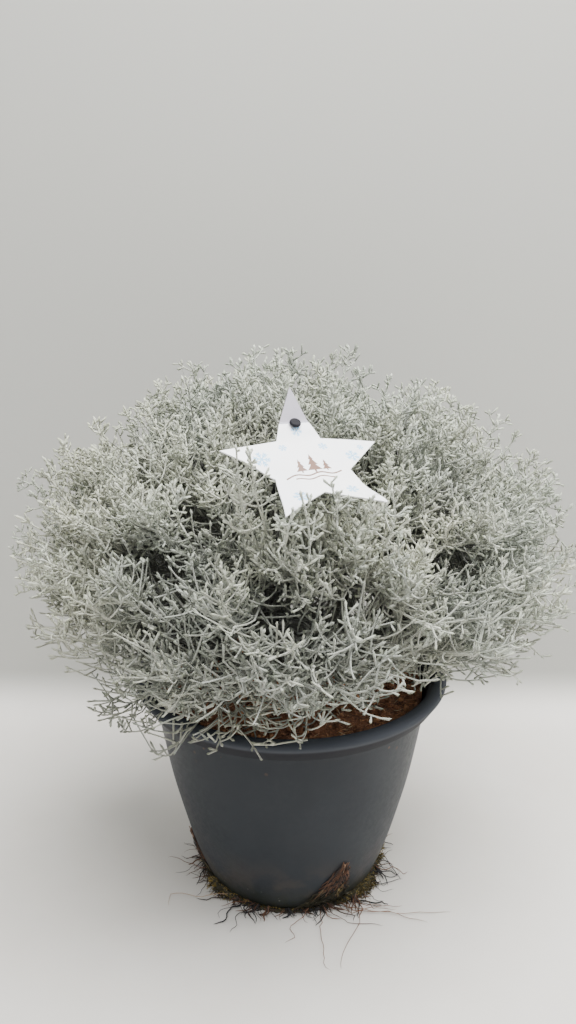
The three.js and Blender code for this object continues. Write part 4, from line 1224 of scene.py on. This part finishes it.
def leader_tips(rng):
    """The tips of the leaders, and which of them stand proud. They are spread evenly over the bush
    and drawn together into tufts, and those that would lie under the hem are fewer and end in a
    ragged band over it."""
    ways = spread_over_bush(LEADERS, LOWEST_LEADER, 0.02, rng)
    tufts = spread_over_bush(TUFTS, LOWEST_LEADER, 0.05, rng)
    tuft = nearest(ways, tufts)
    ways = unit(ways + TUFT_PULL * (tufts[tuft] - ways))
    share = rng.uniform(*LEADER_REACH, LEADERS) + rng.uniform(-0.035, 0.035, TUFTS)[tuft]
    proud = rng.uniform(0, 1, LEADERS) < PROUD_SHARE
    share = np.where(proud, rng.uniform(*PROUD_REACH, LEADERS), share)
    tips = BUSH_MIDDLE + ways * (reach(ways) * share)[:, None]
    least = hem(tips) + rng.uniform(2, 18, LEADERS)
    sunk = tips[:, 2] < least
    tips[:, 2] = np.maximum(tips[:, 2], least)
    keep = ~sunk | (rng.uniform(0, 1, LEADERS) < SUNK_SHARE)
    return tips[keep], proud[keep] & ~sunk[keep]


def grow_leaders(boughs, rng):
    """The shoots that carry the bush's surface, each from a bough near its tip. They bow up to the
    light or, low down, hang and turn up at their ends. The tall ones and those by the card end
    straight."""
    tips, proud = leader_tips(rng)
    groups = [tips, np.array(HANGING_SHOOTS), np.array(TALL_SHOOTS), from_tag(np.array(SHOOTS_BY_CARD))]
    kind = np.repeat([ORDINARY, HANGING, TALL, BY_CARD], [len(group) for group in groups])
    straight = (kind == TALL) | (kind == BY_CARD)
    tips = over_pot(np.concatenate(groups).astype(float))
    count = len(tips)
    proud = np.concatenate([proud, np.ones(count - len(proud), bool)])
    bough_tips = boughs.paths[:, -1]
    bough = nearest(tips + rng.normal(size=tips.shape) * 7, bough_tips)
    start, _ = on_path(boughs.paths[bough], rng.uniform(0.4, 0.95, count))
    out = unit(tips - BUSH_MIDDLE)
    level = np.hypot(out[:, 0], out[:, 1])
    wild_from = 6 + 18 * fade(0.3, 0.9, -out[:, 1] / level)
    wild = fade(wild_from, wild_from - 28, np.degrees(np.arcsin(out[:, 2])))
    wild = np.where(straight, 0.3 * wild, wild)
    wilder = wild[:, None]
    long = np.linalg.norm(tips - start, axis=1)[:, None]
    sag = -UP * (0.26 + 0.16 * wilder) * long * level[:, None]
    sway = rng.normal(size=tips.shape) * (0.08 + 0.12 * wilder) * long
    bows = (start + tips) / 2 + sag + sway
    steady = tips - 0.5 * long * unit(0.9 * UP + 0.6 * out) + 0.6 * sway
    bows = np.where(straight[:, None], steady, bows)
    bows[kind == BY_CARD] += [0, -7, 0] + 0.9 * sway[kind == BY_CARD]
    above = hem(bows) + rng.uniform(2, 12, count)
    bows[:, 2] = np.maximum(bows[:, 2], np.where(kind == HANGING, bows[:, 2], above))
    paths = arcs(start, bows, tips, 13)
    kinks = rng.normal(size=paths.shape) * 0.45
    kinks[:, 0] = 0
    # Wild shoots, low at the bush's front, are darkened by 0.4 times their wildness, and their older,
    # wood-coloured lower parts run further out: painted shade where less light reaches, as well as older
    # wood.
    shade = np.where(proud, rng.uniform(0.5, 1, count), rng.uniform(0, 0.85, count)) - 0.4 * wild
    root_age = 0.2 - 0.2 * wild
    return shortened(Growth(paths + kinks, boughs.stem[bough], shade, wild, proud, root_age, 0.8))


def shortened(growth):
    """Shoots that dip a little under the hem are lifted over it, and those that the card lies on are
    drawn in towards their roots until they end under it."""
    growth.paths = over_pot(growth.paths)
    lifted = np.maximum(growth.paths[..., 2], hem(growth.paths) + 1)
    growth.paths[..., 2] = np.where(growth.proud[:, None], growth.paths[..., 2], lifted)
    for _ in range(SHORTENINGS):
        hit = over_card(growth.paths)[:, None, None]
        root = growth.paths[:, :1]
        growth.paths = np.where(hit, root + (growth.paths - root) * SHORTENED_TO, growth.paths)
    return growth.clear()


def grow_sides(leaders, rng):
    """Side shoots leave a leader in opposite pairs, each pair about a quarter turn on from the one
    before, and curve up. They are shorter towards its tip, and longer and fewer where it grows wild,
    and the further in they leave it, the older they are at their roots. Proud leaders have nearly all
    of theirs."""
    n = len(leaders.paths)
    rows = np.repeat(np.arange(n), 2 * PAIRS_A_LEADER)
    j = np.tile(np.arange(2 * PAIRS_A_LEADER), n)
    play = np.repeat(rng.uniform(0.25, 0.75, n * PAIRS_A_LEADER), 2)
    share = 0.27 + 0.66 * (j // 2 + play + 0.06 * rng.normal(size=len(j))) / PAIRS_A_LEADER
    wild = leaders.wild[rows]
    chance = np.where(leaders.proud[rows], 0.95, 0.7) - 0.38 * wild
    keep = rng.uniform(0, 1, len(j)) < chance
    rows, j, share, wild = rows[keep], j[keep], share[keep], wild[keep]
    angle = np.radians(rng.uniform(60, 88, len(j)) * (1 - 0.25 * wild))
    turn = (j // 2) * 1.7 + (j % 2) * math.pi + rows * 1.3 + rng.normal(size=len(j)) * 0.3
    length = (30 - 22 * share) * rng.uniform(0.6, 1.25, len(j)) * (1 + 1.2 * wild)
    rise = 0.6 + wild * rng.uniform(-0.7, 0.9, len(j))
    ages = (np.clip(0.1 + 0.5 * share, 0, 0.5), 0.92)
    return sprout(leaders, rows, share, angle, turn, length, rise, 9, ages, rng)


def grow_inside(parent, count, longest, ages, rng):
    """The dark tangle inside: twigs that leave the stems or boughs anywhere, in any direction."""
    rows = rng.integers(0, len(parent.paths), count)
    share = rng.uniform(0.15, 0.95, count)
    angle = np.radians(rng.uniform(30, 90, count))
    turn = rng.uniform(0, 2 * math.pi, count)
    length = longest * rng.uniform(0.5, 1, count)
    rise = rng.normal(size=count) * 0.7
    return sprout(parent, rows, share, angle, turn, length, rise, 5, ages, rng)


def grow_twiglets(parent, count, first_share, longest, chance, rng):
    """The short knobby twigs, each with a bud at its end, in a cluster round the end of their shoot,
    alternately to either side. Wild shoots have fewer and longer ones, and proud ones the most."""
    n = len(parent.paths)
    rows = np.repeat(np.arange(n), count)
    j = np.tile(np.arange(count), n)
    wild = parent.wild[rows]
    share = first_share + (0.97 - first_share) * (j + rng.uniform(0.1, 0.9, len(j))) / count
    chance = np.where(parent.proud[rows], 0.95, chance)
    keep = rng.uniform(0, 1, len(j)) < chance * (1 - 0.45 * wild)
    rows, j, share, wild = rows[keep], j[keep], share[keep], wild[keep]
    angle = np.radians(rng.uniform(50, 80, len(j)))
    turn = j * math.pi + rows * 2.1 + rng.normal(size=len(j)) * 0.5
    length = longest * rng.uniform(0.6, 1.2, len(j)) * (1.3 - 0.6 * share) * (1 + 0.6 * wild)
    rise = np.full(len(j), 0.5)
    return sprout(parent, rows, share, angle, turn, length, rise, 5, (0.7, 1.0), rng)


def budded(paths, stations):
    """Paths resampled so that the last station but one lies in the middle of the bud, and the one
    before it at the bud's foot."""
    long = np.linalg.norm(np.diff(paths, axis=1), axis=-1).sum(axis=1)
    bud = np.minimum(BUD / long, 0.2)
    stem = np.linspace(0, 1, stations - 2)[None] * (1 - 2 * bud)[:, None]
    marks = np.column_stack([stem, 1 - bud, np.ones(len(paths))])
    at = marks * (paths.shape[1] - 1)
    i = np.minimum(at.astype(int), paths.shape[1] - 2)
    rows = np.arange(len(paths))[:, None]
    t = (at - i)[..., None]
    return paths[rows, i] * (1 - t) + paths[rows, i + 1] * t


def radii_to_bud(root, neck, bud, stations):
    """Radii along a budded path: thinner evenly from its root to the bud's foot, then the bud."""
    return np.concatenate([np.linspace(root, neck, stations - 2), [bud, 0]])


def bush():
    """Everything that grows, gathered into one piece for each stem."""
    rng = np.random.default_rng(BUSH_SEED)
    feet, along, middles = stem_plans()
    trunks = grow_trunks(feet, along, middles, rng)
    boughs = grow_boughs(trunks, middles, rng)
    leaders = grow_leaders(boughs, rng)
    sides = grow_sides(leaders, rng)
    side_twiglets = grow_twiglets(sides, TWIGLETS_A_SIDE, 0.5, 7.5, 0.42, rng)
    leader_twiglets = grow_twiglets(leaders, TWIGLETS_A_LEADER, 0.7, 7.5, 0.6, rng)
    # The old and inner twigs are given low ages, so they take the dark wood colour: old wood, and painted
    # shade in the gaps.
    old = grow_inside(boughs, OLD_TWIGS, 65, (0.0, 0.12), rng)
    inner = grow_inside(boughs, INNER_TWIGS, 42, (0.06, 0.24), rng)
    trunk_radii = STEM_RADIUS * np.interp(np.linspace(0, 1, trunks.shape[1]), [0, 0.2, 1], [1, 0.95, 0.6])
    trunk_growth = Growth(
        trunks, np.arange(STEMS), np.full(STEMS, 0.4), np.zeros(STEMS), np.zeros(STEMS, bool), 0.0, 0.1)
    crown = grow_inside(trunk_growth, CROWN_TWIGS, 60, (0.0, 0.16), rng)
    kinds = [
        (trunk_growth, trunk_radii, 7),
        (boughs, np.linspace(1.5, 0.9, 12), 4),
        (old, np.linspace(1.4, 0, 5), 3),
        (inner, np.linspace(0.75, 0, 5), 3),
        (crown, np.linspace(1.1, 0, 5), 3),
    ]
    for growth, stations, corners, radii in (
        (leaders, 9, 4, (0.86, 0.62, 1.1)),
        (sides.kept(sides.wild < 0.5), 6, 3, (0.66, 0.52, 1.05)),
        (sides.kept(sides.wild >= 0.5), 7, 3, (0.68, 0.56, 0.9)),
        (side_twiglets, 3, 3, (0.5, 0.5, 0.92)),
        (leader_twiglets, 3, 3, (0.54, 0.54, 1.0)),
    ):
        growth.paths = budded(growth.paths, stations)
        kinds.append((growth, radii_to_bud(*radii, stations), corners))
    made = []
    for k in range(STEMS):
        stock = Stock()
        for growth, radii, corners in kinds:
            own = growth.kept(growth.stem == k)
            if not len(own.paths):
                continue
            points, faces = tubes(own.paths, radii, corners)
            t = np.linspace(0, 1, own.paths.shape[1])[None]
            age = own.root_age[:, None] * (1 - t) + own.tip_age[:, None] * t
            shade = np.repeat(own.shade[:, None], own.paths.shape[1], axis=1)
            stock.add(points, faces, age=along_tubes(age, corners), shade=along_tubes(shade, corners))
        made.append(stock.mesh(f"cushion_stem_{k + 1:02d}"))
    return made


# Roots and moss round the foot

def round_foot(azimuth, out, height):
    return np.stack([out * np.cos(azimuth), out * np.sin(azimuth), height], axis=-1)


def haunted(azimuth, haunts):
    """How thick roots or moss grow at an azimuth, from 0 to about 1: a bell round each haunt."""
    share = np.zeros_like(azimuth)
    for place, width in haunts:
        away = (np.degrees(azimuth) - place + 180) % 360 - 180
        share = share + np.exp(-(away / width) ** 2)
    return share


def creeping_roots(azimuth, long, rng):
    """Roots that creep out over the table: from the foot, along a heading that wanders by a random
    walk, in low hops."""
    n = len(azimuth)
    steps = 14
    t = np.linspace(0, 1, steps + 1)[None]
    kinked = rng.uniform(0, 1, (n, steps + 1)) < 0.16
    turns = rng.normal(size=(n, steps + 1)) * np.where(kinked, 1.3, 0.42)
    heading = azimuth + rng.normal(size=(n, 1)) * 0.45 + np.cumsum(turns, axis=1) - turns[:, :1]
    heading = azimuth + 1.25 * np.sin((heading - azimuth) / 1.25)
    start = rng.uniform(62.5, 66, (n, 1))
    x = start * np.cos(azimuth) + np.cumsum(long / steps * np.cos(heading), axis=1)
    y = start * np.sin(azimuth) + np.cumsum(long / steps * np.sin(heading), axis=1)
    hops = rng.uniform(0, 1, (n, 1)) ** 3 * 5 * np.sin(math.pi * t) ** 2
    height = 0.6 + rng.uniform(0.5, 5, (n, 1)) * (1 - t) ** 2.5 + hops
    out = np.maximum(np.hypot(x, y), wall_radius(height) + 0.8)
    return round_foot(np.arctan2(y, x), out, height)


def slot_roots(centre, wedge, rng):
    """Roots that fill the drain slot and creep up the wall beside it, in a wedge that leans, and how
    far up the wedge each ends."""
    def play(low, high):
        return rng.uniform(low, high, (SLOT_STRANDS, 1))

    at_foot, at_top, high = wedge
    t = np.linspace(0, 1, 9)[None]
    foot = play(*at_foot) * SLOT_WIDTH
    top = play(*at_top) * SLOT_WIDTH
    start = play(0, 0.8)
    climb = np.minimum(start + play(0.1, 0.34) * t, 1)
    height = 1 + high * SLOT_HEIGHT * climb
    wave = play(1, 3.2) * np.sin(play(2, 9) * t + play(0, 6))
    across = foot + (top - foot) * climb + wave * (1.15 - climb)
    out = wall_radius(height) + play(-0.3, 2.4) * (1 - 0.6 * climb) + play(0, 1.8) * t
    return round_foot(centre + across / out, out, height), climb[:, -1]


def moss_hairs(centre, count, rng):
    """Short curved hairs that stand out of the mossy ridge, drawn where moss grows thick."""
    azimuth = centre + np.radians(rng.uniform(-60, 60, count * 2))
    thick = haunted(azimuth, MOSS_HAUNTS)
    azimuth = azimuth[rng.uniform(0, 1, count * 2) < 0.3 + 0.7 * thick][:count]
    count = len(azimuth)
    thick = haunted(azimuth, MOSS_HAUNTS)
    up = rng.uniform(0, 1, count) ** 1.5
    spread_out = (2 + 10 * thick) * (1 - up) * rng.uniform(0.2, 1, count)
    root = round_foot(azimuth, 62.8 + spread_out, 0.8 + (2.5 + 6 * thick) * up)
    way = round_foot(azimuth, np.ones(count), 0 * azimuth) + rng.normal(size=(count, 3)) * 0.75
    way[:, 2] = np.abs(way[:, 2]) * 0.9
    way = unit(way)
    long = (rng.uniform(1.5, 3.5, count) + rng.uniform(0.5, 4, count) * thick)[:, None]
    bow = root + way * long * 0.6
    tip = bow + unit(way + rng.normal(size=way.shape) * 0.9) * long * 0.4
    paths = arcs(root, bow, tip, 4)
    paths[..., 2] = np.maximum(paths[..., 2], 0.5)
    return paths


def ridge_spine(azimuth):
    """The middle line of the mossy ridge, and its radius, which is larger where moss grows thick."""
    radii = 1.3 + 2.8 * np.minimum(haunted(azimuth, MOSS_HAUNTS), 1)
    return round_foot(azimuth, RIDGE_OUT + 0.4 * radii, 0.7 * radii), radii


def ridge(centre, seed):
    """The mossy ridge: a fat tube round a third of the foot, whose rings are swollen by ripples and
    pressed flat on the table and against the pot."""
    path, radii = ridge_spine(centre + np.radians(np.linspace(-59.5, 59.5, 160)))
    points, faces = tubes(path[None], radii[None], 10)
    spine, _ = ridge_spine(np.arctan2(points[:, 1], points[:, 0]))
    swell = 1 + 0.36 * ripples(*points.T, 24, 2.6, seed)[:, None]
    points = spine + (points - spine) * swell
    points[:, 2] = np.maximum(points[:, 2], 0.3)
    out = np.hypot(points[:, 0], points[:, 1])
    least = wall_radius(points[:, 2]) + 0.3
    points[:, :2] *= (np.maximum(out, least) / out)[:, None]
    return points, faces


def root_mat(m):
    """A third of the ring of moss and roots, with the roots in and round its drain slot."""
    rng = np.random.default_rng(ROOT_SEED + m)
    centre = math.radians(FIRST_SLOT_AZIMUTH + m * 360 / SLOTS)
    stock = Stock()

    def add_strands(paths, radii, moss, shade):
        points, faces = tubes(paths, radii, 3)
        each = len(points) // len(paths)
        stock.add(points, faces, moss=np.repeat(moss, each), shade=np.repeat(shade, each))

    stock.add(*ridge(centre, RIDGE_SEED + m), moss=1.0, shade=0.15)

    azimuth = centre + np.radians(rng.uniform(-59, 59, (STRANDS, 1)))
    thick = haunted(azimuth, ROOT_HAUNTS)
    long = 4 + 9 * rng.uniform(0, 1, (STRANDS, 1)) + 30 * thick * rng.uniform(0, 1, (STRANDS, 1)) ** 2.2
    creeping = creeping_roots(azimuth, long, rng)
    own = [(math.radians(a), far) for a, far in LONG_ROOTS
           if abs((a - math.degrees(centre) + 180) % 360 - 180) < 60]
    trailing = creeping_roots(*np.array(own).T[:, :, None], rng)
    slot, up_slot = slot_roots(centre, SLOT_WEDGES[m], rng)
    hairs = moss_hairs(centre, MOSS_HAIRS, rng)
    tapered = np.interp(np.linspace(0, 1, 15), [0, 0.8, 1], [1, 0.7, 0.3])
    radii = (0.22 + 0.62 * rng.uniform(0, 1, (STRANDS, 1)) ** 2) * tapered
    add_strands(creeping, radii, np.zeros(STRANDS), rng.uniform(0, 0.75, STRANDS))

    bare = np.zeros(len(trailing))
    add_strands(trailing, 0.32 * tapered, bare, rng.uniform(0.5, 1, len(trailing)))

    radii = rng.uniform(0.16, 0.5, (len(slot), 1)) * np.ones((1, 9))
    shade = (rng.uniform(0, 0.66, len(slot)) + 0.3 * up_slot ** 2) * fade(0.2, 0.6, up_slot)
    add_strands(slot, radii, fade(0.6, 0.36, up_slot), shade)

    radii = rng.uniform(0.22, 0.5, (len(hairs), 1)) * np.array([[1, 0.9, 0.6, 0]])
    add_strands(hairs, radii, np.ones(len(hairs)), rng.uniform(0, 1, len(hairs)))
    return stock.mesh(f"roots_and_moss_{m + 1}")


# The stage, the camera and the lights

def stage():
    """A pale floor that curves up into a pale backdrop behind the object. From its back, and from
    below, the sheet is see-through, so that views from behind show the object."""
    front = -1600
    behind = 206
    bend = 43
    high = 1800
    half_wide = 1500.0
    below_foot = 0.15
    t = np.linspace(0, math.pi / 2, 16)
    y = np.concatenate([[front], behind + bend * np.sin(t), [behind + bend]])
    z = np.concatenate([[0], bend * (1 - np.cos(t)), [high]]) - below_foot
    x = np.array([-half_wide, half_wide])
    rows = len(y)
    points = np.stack(np.broadcast_arrays(x[None, :], y[:, None], z[:, None]), axis=-1).reshape(-1, 3)
    i = np.arange(rows - 1) * 2
    quads = np.column_stack([i, i + 1, i + 3, i + 2])
    made = new_mesh("floor_and_backdrop", points, [quads])
    material, tree, shader = new_material("pale_backdrop")
    blotch = mask_of(tree, MOTTLE, Size=160.0, Contrast=0.3)
    wall = ramp(tree, parted(tree, place(tree))[2], 0.0, 0.04)
    table = mix(tree, blotch, colour(203, 199, 193), colour(211, 208, 203))
    put(tree, shader.inputs["Base Color"], mix(tree, wall, table, colour(168, 168, 163)))
    shader.inputs["Roughness"].default_value = 0.6
    back = add(tree, "ShaderNodeNewGeometry").outputs["Backfacing"]
    put(tree, shader.inputs["Alpha"], maths(tree, "SUBTRACT", 1.0, back))
    made.data.materials.append(material)


def camera():
    """The photograph's view: 48 cm up, 65 cm in front, tilted down by 16.6 degrees."""
    data = bpy.data.cameras.new("camera")
    data.lens = 33.75
    data.sensor_width = 36
    made = bpy.data.objects.new("camera", data)
    made.location = (-0.0022, -0.655, 0.482)
    made.rotation_euler = (math.radians(90 - 16.6), 0, 0)
    bpy.context.scene.collection.objects.link(made)
    bpy.context.scene.camera = made


def soft_light(name, at, toward, size, watts, tint=(1, 1, 1)):
    data = bpy.data.lights.new(name, "AREA")
    data.shape = "RECTANGLE"
    data.size, data.size_y = size
    data.energy = watts
    data.color = tint
    made = bpy.data.objects.new(name, data)
    made.location = at
    way = np.array(toward) - np.array(at)
    made.rotation_euler = (
        math.atan2(math.hypot(way[0], way[1]), -way[2]), 0, math.atan2(way[1], way[0]) - math.pi / 2)
    bpy.context.scene.collection.objects.link(made)


def lights():
    soft_light("overhead", (0.25, -0.25, 1.5), (0, 0, 0.15), (1.4, 1.0), 74, (1, 0.995, 0.975))
    soft_light("right_side", (1.4, 0.1, 0.7), (0, 0, 0.2), (0.8, 1.0), 23)
    soft_light("left_side", (-1.4, 0, 0.7), (0, 0, 0.2), (0.8, 1.0), 6)
    soft_light("front_fill", (-0.3, -1.6, 1.1), (0, 0, 0.2), (1.2, 0.9), 4.6)
    world = bpy.data.worlds.new("soft_room")
    world.use_nodes = True
    back = world.node_tree.nodes["Background"]
    back.inputs["Color"].default_value = (0.93, 0.96, 1, 1)
    back.inputs["Strength"].default_value = 0.41
    bpy.context.scene.world = world


stage()
camera()
lights()

felt = felt_material()
roots = root_material()
dress(pot(), "pot", pot_material(), "pot")
dress(soil(), "soil", peat_material(), "soil")
dress(card(), "card", card_material(), "tag_card")
dress(pin(), "pin", pin_material(), "tag_pin")
for k, piece in enumerate(bush()):
    dress(piece, "foliage", felt, f"stem_{k + 1:02d}")
for m in range(SLOTS):
    dress(root_mat(m), "roots", roots, f"root_mat_{m + 1}")
